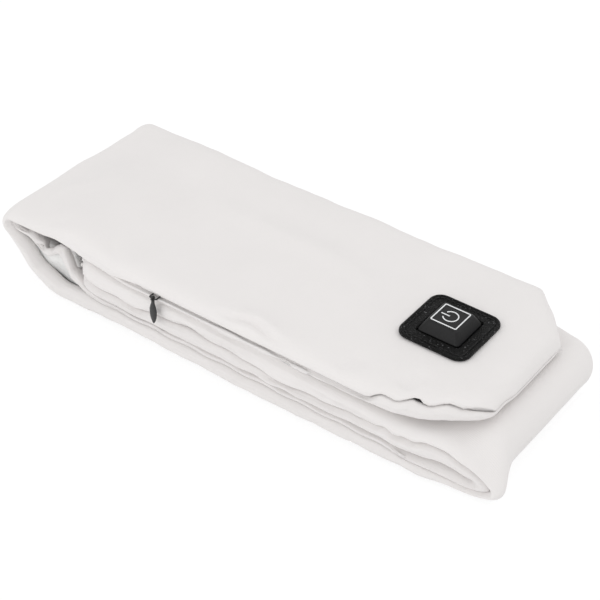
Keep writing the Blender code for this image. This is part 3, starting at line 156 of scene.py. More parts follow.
@dataclass
class ScarfTube:
    """The padded tube: its outline set out flat, its thickness, and the line along which it is folded."""

    folded_length: float = 0.2715
    width: float = 0.105
    axis_y: float = 0.001675
    control_end_inset: float = 0.0145
    tail_end_inset: float = 0.0435
    top_face: float = 0.0066
    top_lining: float = 0.0060
    fold_height: float = 0.0038
    slope_height: float = 0.0048
    bottom_height: float = 0.0056
    right_fold_height: float = 0.0063
    middle_height: float = 0.0079
    layer_gap: float = 0.0004
    left_radius: float = 0.0044
    left_turn: float = math.radians(135)
    floor_radius: float = 0.026
    right_radius: float = 0.0069
    thinning: float = 0.045
    thickening: float = 0.030
    side_depth: float = 0.012
    end_depth: float = 0.011
    flat_half_width: float = 0.019
    soft_crown_share: float = 0.94
    roll_power: float = 2.7
    seam_pinch: float = 0.0016
    seam_gap: float = 0.00015
    right_fold_inset: float = 0.0043
    front_corner: Pair = (0.024, 0.0433)
    back_corner: Pair = (0.024, 0.0245)
    back_corner_power: float = 1.12
    tail_corner: Pair = (0.008, 0.010)
    bottom_inset: float = 0.002
    middle_outset: float = 0.001
    fold_corner_length: float = 0.036
    fold_corner_insets: Pair = (0.0055, 0.0040)
    ear_insets: Pair = (0.03225, 0.00025)
    ear_heights: Pair = (0.0245, 0.0325)
    ear_drawn_band: Pair = (0.031, 0.0080)
    ear_eased_band: Pair = (0.0085, 0.0)
    ear_sunk_band: Pair = (0.0265, 0.0075)
    ear_reach: float = 0.0056
    ear_ease: float = 0.45
    ear_sink: float = 0.56
    lift_everywhere: float = 0.0006
    lift_in_front: float = 0.0022
    lift_places: Pair = (0.062, 0.098)
    lift_heights: Pair = (0.006, 0.024)
    bulge: float = 0.0024
    bulge_place: Pair = (-0.095, 0.021)
    runs: list[Run] = field(default_factory=list)
    marks: dict[str, float] = field(default_factory=dict)

    def __post_init__(self) -> None:
        """Works out the runs of the fold line, from the control end to the tail."""
        half = self.folded_length / 2
        self.top_z = self.bottom_height + 2 * self.right_radius + self.middle_height
        self.top_z = self.top_z + self.top_lining + self.layer_gap
        x, z, heading = half - self.control_end_inset, self.top_z, math.pi
        self.end_x = x
        slope = math.pi - self.left_turn
        drop = self.top_z - self.bottom_height
        drop -= self.left_radius * (1 + math.cos(slope)) + self.floor_radius * (1 - math.cos(slope))
        fold_x = -half + self.left_radius + self.fold_height
        right_x = half - self.right_fold_inset - self.right_radius - self.right_fold_height
        plan = [
            ("left_fold", x - fold_x, 0.0),
            ("slope", self.left_radius * self.left_turn, 1 / self.left_radius),
            ("floor_bend", drop / math.sin(slope), 0.0),
            ("bottom", self.floor_radius * slope, 1 / self.floor_radius),
            ("right_fold", 0.0, 0.0),
            ("middle", self.right_radius * math.pi, 1 / self.right_radius),
            ("tail", right_x + half - self.tail_end_inset, 0.0),
        ]
        start = 0.0
        for name, length, curvature in plan:
            if name == "right_fold":
                length = right_x - x
            run = Run(start, curvature, x, z, heading)
            self.runs.append(run)
            start += length
            self.marks[name] = start
            x, z, heading = (float(value) for value in run.at(np.array(start)))
        self.fold_middle = (self.marks["right_fold"] + self.marks["middle"]) / 2

    def line(self, s: np.ndarray) -> tuple[np.ndarray, np.ndarray, np.ndarray]:
        """Gives x, z and heading of the seam plane at distances along the scarf."""
        x, z, heading = self.runs[0].at(s)
        for run in self.runs[1:]:
            after = s >= run.start
            for value, new in zip((x, z, heading), run.at(s)):
                value[after] = new[after]
        return x, z, heading

    def laid(self, s: np.ndarray, v: np.ndarray, n: np.ndarray) -> np.ndarray:
        """Lays flat places along the folds.

        Args:
            s: Distances along the scarf.
            v: Places across it.
            n: Heights over the seam plane, towards the face cloth.

        Returns:
            The places in the row frame, with the front right corner drawn out and down to the floor, and the
            left end lifted a little.
        """
        x, z, heading = self.line(np.asarray(s, float))
        x = x + n * np.sin(heading)
        z = z - n * np.cos(heading)
        half = self.folded_length / 2
        rise = smooth_step(x, half - self.ear_insets[0], half - self.ear_insets[1])
        rise = rise * (1 - smooth_step(z, *self.ear_heights))
        drawn = rise * self.forward(v, self.ear_drawn_band)
        drawn = drawn * (1 - self.ear_ease * self.forward(v, self.ear_eased_band))
        sunk = rise * self.forward(v, self.ear_sunk_band)
        lift = self.lift_everywhere + self.lift_in_front * smooth_step(-v, -0.030, 0.010)
        lift = lift * smooth_step(-x, *self.lift_places)
        lift = lift + self.bulge * bell(x, *self.bulge_place) * smooth_step(-v, 0.010, 0.040)
        z = z * (1 - self.ear_sink * sunk) + lift * smooth_step(z, *self.lift_heights)
        return np.stack([x + self.ear_reach * drawn, self.axis_y + v, z], axis=-1)

    def forward(self, v: np.ndarray, band: Pair) -> np.ndarray:
        """Gives a rise towards the front over a band, whose two sides are told from the front edge."""
        return smooth_step(-v, self.width / 2 - band[0], self.width / 2 - band[1])

    def limits(self, s: np.ndarray) -> tuple[np.ndarray, np.ndarray]:
        """Gives the front and back limits of the tube across its width."""
        marks = self.marks
        cut, length = self.front_corner
        front = cut * np.clip(1 - s / length, 0, None) ** 2
        cut, length = self.back_corner
        back = cut * np.clip(1 - s / length, 0, None) ** self.back_corner_power
        cut, length = self.tail_corner
        tail = cut * smooth_step(s, marks["tail"] - length, marks["tail"])
        layer = self.bottom_inset * smooth_step(s, marks["left_fold"], marks["bottom"])
        layer = layer - self.middle_outset * smooth_step(s, marks["right_fold"], marks["middle"])
        reach = self.fold_corner_length
        near = smooth_step(reach - abs(s - self.fold_middle), 0.0, reach)
        front = front + tail + layer + self.fold_corner_insets[0] * near
        back = back + tail + layer + self.fold_corner_insets[1] * near
        return front - self.width / 2, self.width / 2 - back

    def height(self, s: np.ndarray, side: Side) -> np.ndarray:
        """Gives the height of a cloth's outside over the seam plane."""
        marks = self.marks
        start = self.top_face if side is Side.FACE else self.top_lining
        knots = [
            (marks["left_fold"] - self.thinning, marks["left_fold"], self.fold_height),
            (marks["slope"], marks["floor_bend"], self.slope_height),
            (marks["floor_bend"], marks["bottom"], self.bottom_height),
            (marks["right_fold"], marks["middle"], self.right_fold_height),
            (marks["middle"], marks["middle"] + self.thickening, self.middle_height),
        ]
        height = np.full(np.shape(s), start)
        for first, last, after in knots:
            height = height + (after - height) * smooth_step(s, first, last)
        return height


@dataclass(frozen=True)
class Crease:
    """A soft fold or dent in a cloth.

    Its line runs through flat places, its width is half its width, and its height is below 0 in a dent.
    """

    line: Knots
    width: float
    height: float

    def relief(self, s: np.ndarray, v: np.ndarray) -> np.ndarray:
        """Gives how far the cloth stands out at places."""
        nearest = np.full(s.shape, 1.0)
        share = np.zeros(s.shape)
        count = len(self.line) - 1
        for k, (first, last) in enumerate(zip(self.line, self.line[1:])):
            way = np.array(last) - np.array(first)
            t = ((s - first[0]) * way[0] + (v - first[1]) * way[1]) / float(way @ way)
            t = np.clip(t, 0.0, 1.0)
            off = np.hypot(s - first[0] - t * way[0], v - first[1] - t * way[1])
            closer = off < nearest
            nearest = np.where(closer, off, nearest)
            share = np.where(closer, (k + t) / count, share)
        ends = smooth_step(share, 0.0, 0.3) * (1 - smooth_step(share, 0.7, 1.0))
        return self.height * bell(nearest, 0.0, self.width) * ends


@dataclass(frozen=True)
class RollFold:
    """A fold along the tube's front side, between two distances, at a share of the way up from the seam."""

    first: float
    last: float
    up: Pair
    width: float
    height: float

    def relief(self, s: np.ndarray, up: np.ndarray) -> np.ndarray:
        """Gives how far the cloth stands out."""
        share = (s - self.first) / (self.last - self.first)
        line = self.up[0] + (self.up[1] - self.up[0]) * share
        ends = smooth_step(share, 0.0, 0.25) * (1 - smooth_step(share, 0.75, 1.0))
        return self.height * bell(up, line, self.width) * ends


CREASES: dict[Side, tuple[Crease, ...]] = {
    Side.LINING: (
        Crease(((0.263, -0.054), (0.266, -0.046), (0.268, -0.030)), 0.0030, 0.0016),
        Crease(((0.2735, -0.054), (0.2755, -0.047), (0.2785, -0.040), (0.280, -0.032)), 0.0017, -0.0026),
        Crease(((0.285, -0.054), (0.2855, -0.044), (0.288, -0.030)), 0.0034, 0.0016),
        Crease(((0.2655, -0.049), (0.2635, -0.045), (0.2615, -0.038)), 0.0016, -0.0020),
        Crease(((0.291, -0.052), (0.293, -0.046), (0.294, -0.038)), 0.0016, -0.0010),
    ),
    Side.FACE: (
        Crease(
            ((0.185, 0.014), (0.148, 0.0113), (0.1185, 0.012), (0.095, 0.009), (0.070, 0.006)), 0.0060, 0.0013
        ),
        Crease(((0.185, 0.026), (0.148, 0.024), (0.1185, 0.025), (0.095, 0.022)), 0.0070, -0.0010),
        Crease(
            ((0.131, -0.0505), (0.1195, -0.0485), (0.1115, -0.0462), (0.1015, -0.0488), (0.088, -0.051)),
            0.0019, -0.0020,
        ),
        Crease(
            ((0.128, -0.047), (0.1185, -0.0450), (0.1115, -0.0425), (0.1015, -0.0450), (0.090, -0.047)),
            0.0026, 0.0011,
        ),
        Crease(((0.068, -0.050), (0.062, -0.043), (0.058, -0.034)), 0.0040, -0.0013),
        Crease(((0.036, -0.046), (0.034, -0.038), (0.031, -0.030)), 0.0035, -0.0014),
        Crease(((0.187, -0.050), (0.192, -0.044), (0.200, -0.039)), 0.0030, -0.0006),
        Crease(((0.230, -0.051), (0.224, -0.046), (0.215, -0.043)), 0.0030, -0.0006),
        Crease(((0.204, 0.036), (0.196, 0.010), (0.200, -0.018)), 0.0080, -0.0012),
        Crease(((0.243, -0.030), (0.232, -0.008), (0.236, 0.020)), 0.0070, 0.0011),
    ),
}

ROLL_FOLDS: dict[Side, tuple[RollFold, ...]] = {
    Side.LINING: (
        RollFold(0.088, 0.134, (0.45, 0.45), 0.30, 0.0012),
        RollFold(0.545, 0.640, (0.30, 0.62), 0.13, 0.0007),
        RollFold(0.600, 0.735, (0.62, 0.35), 0.12, 0.0007),
        RollFold(0.330, 0.480, (0.35, 0.60), 0.14, 0.0006),
    ),
    Side.FACE: (
        RollFold(0.560, 0.690, (0.22, 0.50), 0.09, 0.0008),
        RollFold(0.570, 0.720, (0.42, 0.26), 0.07, -0.0006),
        RollFold(0.640, 0.735, (0.62, 0.72), 0.10, 0.0006),
        RollFold(0.600, 0.680, (0.80, 0.72), 0.06, -0.0004),
        RollFold(0.310, 0.430, (0.25, 0.45), 0.14, 0.0007),
        RollFold(0.400, 0.500, (0.50, 0.30), 0.12, 0.0006),
        RollFold(0.170, 0.215, (0.30, 0.40), 0.12, 0.0005),
    ),
}

THINNED: dict[Side, Knots] = {
    Side.LINING: (
        (0.0, 0.30), (0.012, 0.58), (0.036, 0.58), (0.046, 0.36), (0.061, 0.16), (0.073, 0.10), (0.083, 0.26),
        (0.096, 0.46), (0.148, 0.52), (0.162, 0.44), (0.200, 0.34), (0.2488, 0.22), (0.260, -0.10),
        (0.270, -1.20), (0.281, -1.90), (0.291, -2.80), (0.297, -2.80), (0.304, -0.8), (0.311, -0.05),
        (0.510, -0.05), (0.530, 0.0), (0.560, -0.03), (0.740, -0.03),
    ),
    Side.FACE: (
        (0.570, 0.0), (0.592, -0.02), (0.612, -0.04), (0.624, -0.20), (0.640, -0.36), (0.686, -0.42),
        (0.700, -0.34), (0.735, -0.22), (0.750, -0.05),
    ),
}


def linked(name: str, data: Any) -> bpy.types.Object:
    """Puts data into the scene, as an object of that name."""
    obj = bpy.data.objects.new(name, data)
    bpy.context.scene.collection.objects.link(obj)
    return obj


def thicken(obj: bpy.types.Object, thickness: float, offset: float = -1.0) -> None:
    """Gives a sheet its thickness: inwards at an offset of -1, and to both sides at 0."""
    modifier = obj.modifiers.new("Thickness", "SOLIDIFY")
    modifier.thickness = thickness
    modifier.offset = offset


def grid_faces(rows: int, columns: int) -> list[tuple[int, int, int, int]]:
    """Lists the faces between the vertices of a grid, which are numbered row by row."""
    starts = (row * columns + k for row in range(rows - 1) for k in range(columns - 1))
    return [(a, a + 1, a + columns + 1, a + columns) for a in starts]


@dataclass
class ScarfCover:
    """The two cloths of the tube, sewn together all round, with their soft folds, puckers and seam lips."""

    tube: ScarfTube
    step: float = 0.0022
    roll_points: int = 17
    flat_points: int = 20
    end_rows: int = 12
    cloth: float = 0.0009
    allowance: float = 0.0032
    zip_first: float = 0.0489
    zip_last: float = 0.1669
    zip_ramp: float = 0.008
    zip_half_gap: float = 0.00044
    zip_lip_depth: float = 0.0030
    zip_pinch_lining: float = 0.0004
    zip_pinch_face: float = -0.0015
    gape_place: float = 0.0262
    end_seam_drop: float = 0.0030
    floor_clearance: float = 0.0002
    window_clearance: float = 0.0003
    touching_power: float = 0.3
    touching_depth: float = 0.0035
    pinch_reach: float = 0.0011
    swell: float = 0.00035
    swell_place: Pair = (0.0022, 0.0009)
    gape: float = 0.00015
    corner_wave: Pair = (0.0125, 0.10)
    loose_wave: Pair = (0.021, 0.05)
    ripple_wave: Pair = (0.0095, 0.07)
    puckered_reach: float = 0.006
    pressed_share: float = 0.8
    broad: tuple[Waves, ...] = (Waves(0.0011, 0.055, 0.035, 3.1), Waves(0.0003, 0.021, 0.017, 7.7))
    puckers: Waves = Waves(0.0006, 0.009, 0.030, 11.3)

    def stations(self) -> tuple[np.ndarray, np.ndarray, np.ndarray]:
        """Gives each row's distance along, its share of the full height, and the seam's distance along."""
        tube, marks = self.tube, self.tube.marks
        angle = np.linspace(0.0, math.pi / 2, self.end_rows)
        share = np.sin(angle)
        inset = tube.end_depth * (1 - (1 - share**tube.roll_power) ** (1 / tube.roll_power))
        inset = inset + 0.35 * tube.seam_pinch * np.exp(-((share / 0.16) ** 2))
        rim = tube.end_depth * (0.16 + 0.84 * angle / angle[-1])
        stops = [tube.end_depth, marks["left_fold"] - 0.012, marks["left_fold"], marks["slope"]]
        stops += [marks["floor_bend"], marks["bottom"], marks["right_fold"], marks["middle"]]
        stops += [marks["tail"] - tube.end_depth]
        fine = {2: 0.4, 3: 0.3, 4: 0.6, 5: 0.7, 7: 0.4}
        rows = []
        for k in range(1, len(stops)):
            length = stops[k] - stops[k - 1]
            count = max(2, round(length / (self.step * fine.get(k, 1.0))))
            rows.append(np.linspace(stops[k - 1], stops[k], count, endpoint=False))
        middle = np.concatenate([*rows, [stops[-1]]])[1:-1]
        s = np.concatenate([inset, middle, marks["tail"] - inset[::-1]])
        heights = np.concatenate([share, np.ones(len(middle)), share[::-1]])
        seam = np.concatenate([rim, middle, marks["tail"] - rim[::-1]])
        return s, heights, seam

    def seam_share(self, s: np.ndarray) -> np.ndarray:
        """Gives how far the front seam is rolled towards the face, as a share of the height."""
        marks = self.tube.marks
        knots = [(0.0, 0.30), (0.012, 0.62), (0.027, 0.72), (0.0415, 0.55), (self.zip_first - 0.001, 0.0)]
        knots += [(self.zip_last + 0.001, 0.0), (0.196, -0.55), (marks["left_fold"] - 0.03, -0.74)]
        knots += [(marks["floor_bend"], -0.70), (0.345, -0.55), (0.470, -0.45), (marks["right_fold"], 0.05)]
        knots += [(marks["middle"], 0.35), (0.575, 0.02), (0.604, -0.20), (0.625, -0.40), (0.652, 0.02)]
        knots += [(0.680, 0.22), (0.712, -0.10), (marks["tail"], -0.15)]
        length, size = self.corner_wave
        corner = np.sin(2 * math.pi * s / length) * (1 - smooth_step(s, 0.034, 0.044))
        corner = size * (corner * smooth_step(s, 0.0, 0.008))
        length, size = self.loose_wave
        after_zip = smooth_step(s, self.zip_last + 0.01, self.zip_last + 0.03)
        loose = size * np.sin(2 * math.pi * s / length) * after_zip
        length, size = self.ripple_wave
        ripple = size * np.sin(2 * math.pi * s / length) * bell(s, 0.565, 0.025)
        return between(s, knots) + corner + loose + ripple

    def over_zip(self, s: np.ndarray) -> np.ndarray:
        """Gives how far a place along the front seam belongs to the zip, from 0 to 1."""
        rise = smooth_step(s, self.zip_first - self.zip_ramp, self.zip_first)
        return rise * (1 - smooth_step(s, self.zip_last, self.zip_last + self.zip_ramp))

    def gap(self, s: np.ndarray) -> np.ndarray:
        """Gives half the gap between the cloths at the front seam, wider over the zip and where it gapes."""
        gape = self.gape * bell(s, self.gape_place, 0.0011)
        return self.tube.seam_gap + (self.zip_half_gap - self.tube.seam_gap) * self.over_zip(s) + gape

    def thinned(self, s: np.ndarray, v: np.ndarray, side: Side) -> np.ndarray:
        """Gives how much thinner, or below 0 thicker, a cloth's side of the tube is near the front seam."""
        near = 1 - smooth_step(v - self.tube.limits(s)[0], 0.004, 0.0185)
        return near * between(s, THINNED[side])

    def half(self, side: Side, front: bool) -> tuple[np.ndarray, np.ndarray, np.ndarray, np.ndarray]:
        """Sets out one half of a cloth, from its seam up its rolled side.

        Args:
            side: The cloth.
            front: Whether it is the front half, with the zip, and not the back half.

        Returns:
            Each point's s, v and n, and its way up from the seam, with a row for each station.
        """
        tube = self.tube
        s0, share, seam = self.stations()
        height = tube.height(s0, side)
        turn = np.linspace(0.0, 1.0, self.roll_points)
        touching = np.ones(len(s0))
        if side is Side.FACE:
            touching = smooth_step(s0, tube.marks["floor_bend"], tube.marks["bottom"])
        power = (tube.roll_power + self.touching_power * touching)[:, None]
        depth = (tube.side_depth - self.touching_depth * touching)[:, None]
        gap = self.gap(s0) if front else np.full(len(s0), tube.seam_gap)
        tilt = self.seam_share(s0) if front else np.zeros(len(s0))
        low = np.arcsin(np.clip(side.value * tilt + gap / height, -0.9, 0.9))
        angle = low[:, None] + (math.pi / 2 - low[:, None]) * turn[None, :]
        q = np.sin(angle)
        inset = depth * (1 - (1 - np.clip(abs(q), 0, 1) ** power) ** (1 / power))
        near = (q - q[:, :1]) * height[:, None]
        pinch = np.full(len(s0), tube.seam_pinch)
        if front:
            corner = (1 - smooth_step(s0, 0.036, 0.046)) * smooth_step(s0, 0.002, 0.010)
            zip_pinch = self.zip_pinch_lining if side is Side.LINING else self.zip_pinch_face
            pinch = pinch * (1 - 0.5 * corner)
            pinch = pinch + zip_pinch * self.over_zip(s0)
        inset = inset + pinch[:, None] * np.exp(-((near / self.pinch_reach) ** 2))
        inset = inset - self.swell * bell(near, *self.swell_place)
        flat_in = tube.side_depth * (0.15 + 0.85 * turn[None, :])
        blend = smooth_step(share, 0.0, 0.4)[:, None]
        inwards = flat_in * (1 - blend) + inset * blend
        along = np.where(turn[None, :] == 0, seam[:, None], s0[:, None])
        limits = tube.limits(along)
        v = limits[0] + inwards if front else limits[1] - inwards
        n = gap[:, None] * (1 - q) + height[:, None] * q * share[:, None]
        n = np.where(share[:, None] == 0, gap[:, None], n)
        return along + 0 * v, v, n, q

    def grid(self, side: Side) -> dict[str, np.ndarray]:
        """Sets a cloth out flat.

        Args:
            side: The cloth.

        Returns:
            Arrays with a row for each station: each point's s, v and n, and its way up from the front seam.
        """
        tube = self.tube
        s0 = self.stations()[0]
        s_f, v_f, n_f, q_f = self.half(side, True)
        s_b, v_b, n_b, q_b = self.half(side, False)
        t = np.linspace(0.0, 1.0, self.flat_points + 2)[1:-1][None, :]
        v_flat = v_f[:, -1:] * (1 - t) + v_b[:, -1:] * t
        n_flat = n_f[:, -1:] * (1 - t) + n_b[:, -1:] * t
        s = np.hstack([s_f, s0[:, None] + 0 * v_flat, s_b[:, ::-1]])
        v = np.hstack([v_f, v_flat, v_b[:, ::-1]])
        n = np.hstack([n_f, n_flat, n_b[:, ::-1]])
        up = np.hstack([q_f, 5 + 0 * v_flat, 9 + 0 * q_b])
        crown = tube.soft_crown_share
        if side is Side.FACE:
            crown = crown + (1 - crown) * smooth_step(s, tube.marks["slope"], tube.marks["bottom"])
            after = smooth_step(s, tube.marks["middle"], tube.marks["middle"] + 0.02)
            crown = crown - (1 - tube.soft_crown_share) * after
        n = n * (crown + (1 - crown) * (1 - smooth_step(abs(v), tube.flat_half_width, tube.width / 2)))
        held = 1 - smooth_step(n, 0.0008, 0.003)
        n = side.value * n * (1 - self.thinned(s, v, side) * (1 - held))
        behind = smooth_step(v - tube.limits(s)[0], 0.008, 0.020)
        drop = self.end_seam_drop * (1 - smooth_step(s, 0.0, 0.013))
        n = n - drop * (1 - smooth_step(abs(n), 0.0, 0.005)) * behind
        return {"s": s, "v": v, "n": n, "up": up}

    def relief(self, side: Side, flat: dict[str, np.ndarray]) -> np.ndarray:
        """Gives how far a cloth stands out from its plain form: softness, puckers at the seams, and folds."""
        s, v = flat["s"], flat["v"]
        marks = self.tube.marks
        front, back = self.tube.limits(s)
        near = np.minimum(v - front, back - v)
        broad = sum(waves.relief(s, v) for waves in self.broad)
        pucker = self.puckers.relief(s, v) * np.exp(-np.clip(near, 0, None) / self.puckered_reach)
        if side is Side.FACE:
            free = 1 - smooth_step(s, marks["left_fold"] - 0.01, marks["left_fold"] + 0.002)
        else:
            free = smooth_step(s, marks["left_fold"] - 0.02, marks["left_fold"])
            free = free * (1 - smooth_step(s, marks["floor_bend"], marks["bottom"]))
        rim = 1 - smooth_step(near, 0.004, 0.012)
        pressed = -abs(broad) * self.pressed_share
        out = free * broad + (1 - free) * (rim * broad + (1 - rim) * pressed) + pucker
        for crease in CREASES[side]:
            out = out + crease.relief(s, v)
        for fold in ROLL_FOLDS[side]:
            out = out + fold.relief(s, flat["up"])
        return out

    def build(self, side: Side, name: str) -> bpy.types.Object:
        """Makes a cloth's mesh, with its turned-in seam allowance.

        Args:
            side: The cloth.
            name: The piece's name.

        Returns:
            The cloth, with its thickness as a modifier.
        """
        tube = self.tube
        flat = self.grid(side)
        s, v, n = flat["s"], flat["v"], flat["n"]
        places = tube.laid(s, v, n)
        along, across = np.gradient(places, axis=0), np.gradient(places, axis=1)
        normals = np.cross(across, along)
        normals /= np.linalg.norm(normals, axis=-1, keepdims=True) + 1e-12
        outward = tube.laid(s, v, n + side.value * 1e-4) - places
        middle = len(s[0]) // 2
        normals *= np.sign((normals * outward)[:, middle].sum(-1))[:, None, None]
        rows, columns = s.shape
        fade = smooth_step(np.minimum(np.arange(columns), np.arange(columns)[::-1]), 0.0, 3.0)[None, :]
        fade = fade * smooth_step(np.minimum(np.arange(rows), np.arange(rows)[::-1]), 0.0, 4.0)[:, None]
        places = places + normals * (self.relief(side, flat) * fade)[..., None]
        places[..., 2] = np.maximum(places[..., 2], self.floor_clearance)
        bm = bmesh.new()
        layer = bm.verts.layers.float_vector.new(FLAT_PLACE)
        verts = []
        for i in range(rows):
            verts.append([bm.verts.new(places[i, j]) for j in range(columns)])
            for j, vert in enumerate(verts[-1]):
                vert[layer] = (s[i, j], v[i, j], 0.0)
        for low, high in zip(verts, verts[1:]):
            for k in range(columns - 1):
                bm.faces.new((low[k], low[k + 1], high[k + 1], high[k]))
        self.turn_in(bm, layer, verts, s, v, n)
        if side is Side.FACE:
            self.open_window(bm)
        bmesh.ops.recalc_face_normals(bm, faces=bm.faces)
        mesh = bpy.data.meshes.new(name)
        bm.to_mesh(mesh)
        bm.free()
        mesh.shade_smooth()
        obj = linked(name, mesh)
        if self.faces_in(obj, side):
            mesh.flip_normals()
        thicken(obj, self.cloth)
        return obj

    def open_window(self, bm: bmesh.types.BMesh) -> None:
        """Cuts the square hole under the control plate."""
        low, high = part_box("controller_back")
        middle = (low + high) / 2
        for axis in (0, 1):
            for way in (-1, 1):
                near = [f for f in bm.faces if (f.calc_center_median() - middle).length < 0.025]
                parts = [*near, *{e for f in near for e in f.edges}, *{v for f in near for v in f.verts}]
                edge = middle.copy()
                edge[axis] += way * ((high[axis] - low[axis]) / 2 + self.window_clearance)
                normal = Vector((0.0, 0.0, 0.0))
                normal[axis] = 1.0
                bmesh.ops.bisect_plane(bm, geom=parts, dist=1e-6, plane_co=edge, plane_no=normal)
        reach = (high - low) / 2 + Vector((self.window_clearance, self.window_clearance, 0.0))
        inside = []
        for face in bm.faces:
            off = face.calc_center_median() - middle
            if abs(off.x) < reach.x and abs(off.y) < reach.y and off.z > 0:
                inside.append(face)
        bmesh.ops.delete(bm, geom=inside, context="FACES")

    def turn_in(self, bm: bmesh.types.BMesh, layer: Any, verts: list[list[Any]], *flat: np.ndarray) -> None:
        """Adds the seam allowance: the cloth's edge, turned in between the two cloths."""
        s, v, n = flat
        last = len(verts) - 1
        wide = len(verts[0]) - 1
        loop = [(0, j) for j in range(wide)] + [(i, wide) for i in range(last)]
        loop += [(last, j) for j in range(wide, 0, -1)] + [(i, 0) for i in range(last, 0, -1)]
        index = np.array(loop)
        rim = np.stack([s[index[:, 0], index[:, 1]], v[index[:, 0], index[:, 1]]], axis=1)
        height = n[index[:, 0], index[:, 1]]
        way = np.roll(rim, -2, axis=0) - np.roll(rim, 2, axis=0)
        inward = np.stack([-way[:, 1], way[:, 0]], axis=1)
        inward /= np.linalg.norm(inward, axis=1, keepdims=True) + 1e-12
        centre = rim.mean(axis=0)
        along = np.clip(rim[:, 0], 0.05, self.tube.marks["tail"] - 0.05)
        middle = np.stack([along, 0 * rim[:, 1] + centre[1]], axis=1)
        inward *= np.sign(((middle - rim) * inward).sum(axis=1, keepdims=True))
        before = [verts[i][j] for i, j in loop]
        for share in (0.5, 1.0):
            spot = rim + inward * (self.allowance_at(rim) * share)[:, None]
            places = self.tube.laid(spot[:, 0], spot[:, 1], height)
            after = [bm.verts.new(p) for p in places]
            for vert, (a, b) in zip(after, spot):
                vert[layer] = (a, b, 0.0)
            for k in range(len(loop)):
                nxt = (k + 1) % len(loop)
                bm.faces.new((before[k], before[nxt], after[nxt], after[k]))
            before = after

    def allowance_at(self, rim: np.ndarray) -> np.ndarray:
        """Gives how deep the seam allowance is at places on the rim, less where the zip needs the room."""
        s, v = rim[:, 0], rim[:, 1]
        room = self.zip_lip_depth - (v - self.tube.limits(s)[0])
        less = (self.allowance - room) * self.over_zip(s) + 0.0010 * bell(s, self.gape_place, 0.004)
        return self.allowance - less * (v < 0)

    def faces_in(self, obj: bpy.types.Object, side: Side) -> bool:
        """Tells whether a cloth's faces look into the tube, by one on its top layer."""
        tube = self.tube
        flat = (np.array([value]) for value in (0.1, 0.0, side.value * tube.top_face))
        target = Vector(tube.laid(*flat)[0])
        face = min(obj.data.polygons, key=lambda p: (p.center - target).length)
        return face.normal.z * side.value < 0


def piece(name: str, verts: Iterable[Any], faces: Iterable[Any]) -> bpy.types.Object:
    """Makes a smooth object from vertices and faces, with its faces turned out.

    Args:
        name: The piece's name.
        verts: Its vertices.
        faces: Its faces, as vertex numbers.

    Returns:
        The object, in the scene.
    """
    mesh = bpy.data.meshes.new(name)
    mesh.from_pydata([tuple(v) for v in verts], [], [tuple(f) for f in faces])
    bm = bmesh.new()
    bm.from_mesh(mesh)
    bmesh.ops.recalc_face_normals(bm, faces=bm.faces)
    bm.to_mesh(mesh)
    bm.free()
    mesh.shade_smooth()
    return linked(name, mesh)


@dataclass
class Shells:
    """Closed shells that are gathered for one piece."""

    verts: list[Vector] = field(default_factory=list)
    faces: list[tuple[int, ...]] = field(default_factory=list)

    def loft(self, rings: Sequence[Sequence[Any]], joined: bool = False) -> None:
        """Adds a shell through rings of the same number of places.

        Args:
            rings: The rings, in order.
            joined: Whether the last ring leads back to the first, and not to caps.
        """
        start, wide = len(self.verts), len(rings[0])
        for ring in rings:
            self.verts.extend(Vector(place) for place in ring)
        count = len(rings)
        for i in range(count if joined else count - 1):
            low, high = start + i * wide, start + (i + 1) % count * wide
            for k in range(wide):
                nxt = (k + 1) % wide
                self.faces.append((low + k, low + nxt, high + nxt, high + k))
        if not joined:
            self.faces.append(tuple(range(start, start + wide)))
            self.faces.append(tuple(range(start + (count - 1) * wide, start + count * wide)))

    def sweep(self, path: Sequence[Vector], radius: float, sides: int = 8, joined: bool = False) -> None:
        """Adds a round rod along a path.

        Args:
            path: The places along its middle.
            radius: Its radius.
            sides: How many sides its section has.
            joined: Whether the path is a loop.
        """
        rings = []
        across = Vector((0.0, 0.0, 1.0))
        count = len(path)
        for i, place in enumerate(path):
            before = path[i - 1] if i or joined else place
            after = path[(i + 1) % count] if i + 1 < count or joined else place
            way = (after - before).normalized()
            across = (across - way * across.dot(way)).normalized()
            if across.length < 0.5:
                across = way.orthogonal().normalized()
            other = way.cross(across)
            turns = [2 * math.pi * k / sides for k in range(sides)]
            rings.append([place + (across * math.cos(a) + other * math.sin(a)) * radius for a in turns])
        self.loft(rings, joined)

    def make(self, name: str) -> bpy.types.Object:
        """Makes the object."""
        return piece(name, self.verts, self.faces)


def rounded_square(centre: Vector, half: float, radius: float, z: float, per_corner: int = 8) -> list[Vector]:
    """Gives the places round a square with round corners."""
    ring = []
    for quarter in range(4):
        turn = math.pi / 2 * quarter + math.pi / 4
        reach = half - radius
        middle = Vector((math.copysign(reach, math.cos(turn)), math.copysign(reach, math.sin(turn)), 0.0))
        for k in range(per_corner + 1):
            a = math.pi / 2 * (quarter + k / per_corner)
            place = middle + Vector((math.cos(a), math.sin(a), 0.0)) * radius
            ring.append(Vector((centre.x + place.x, centre.y + place.y, z)))
    return ring


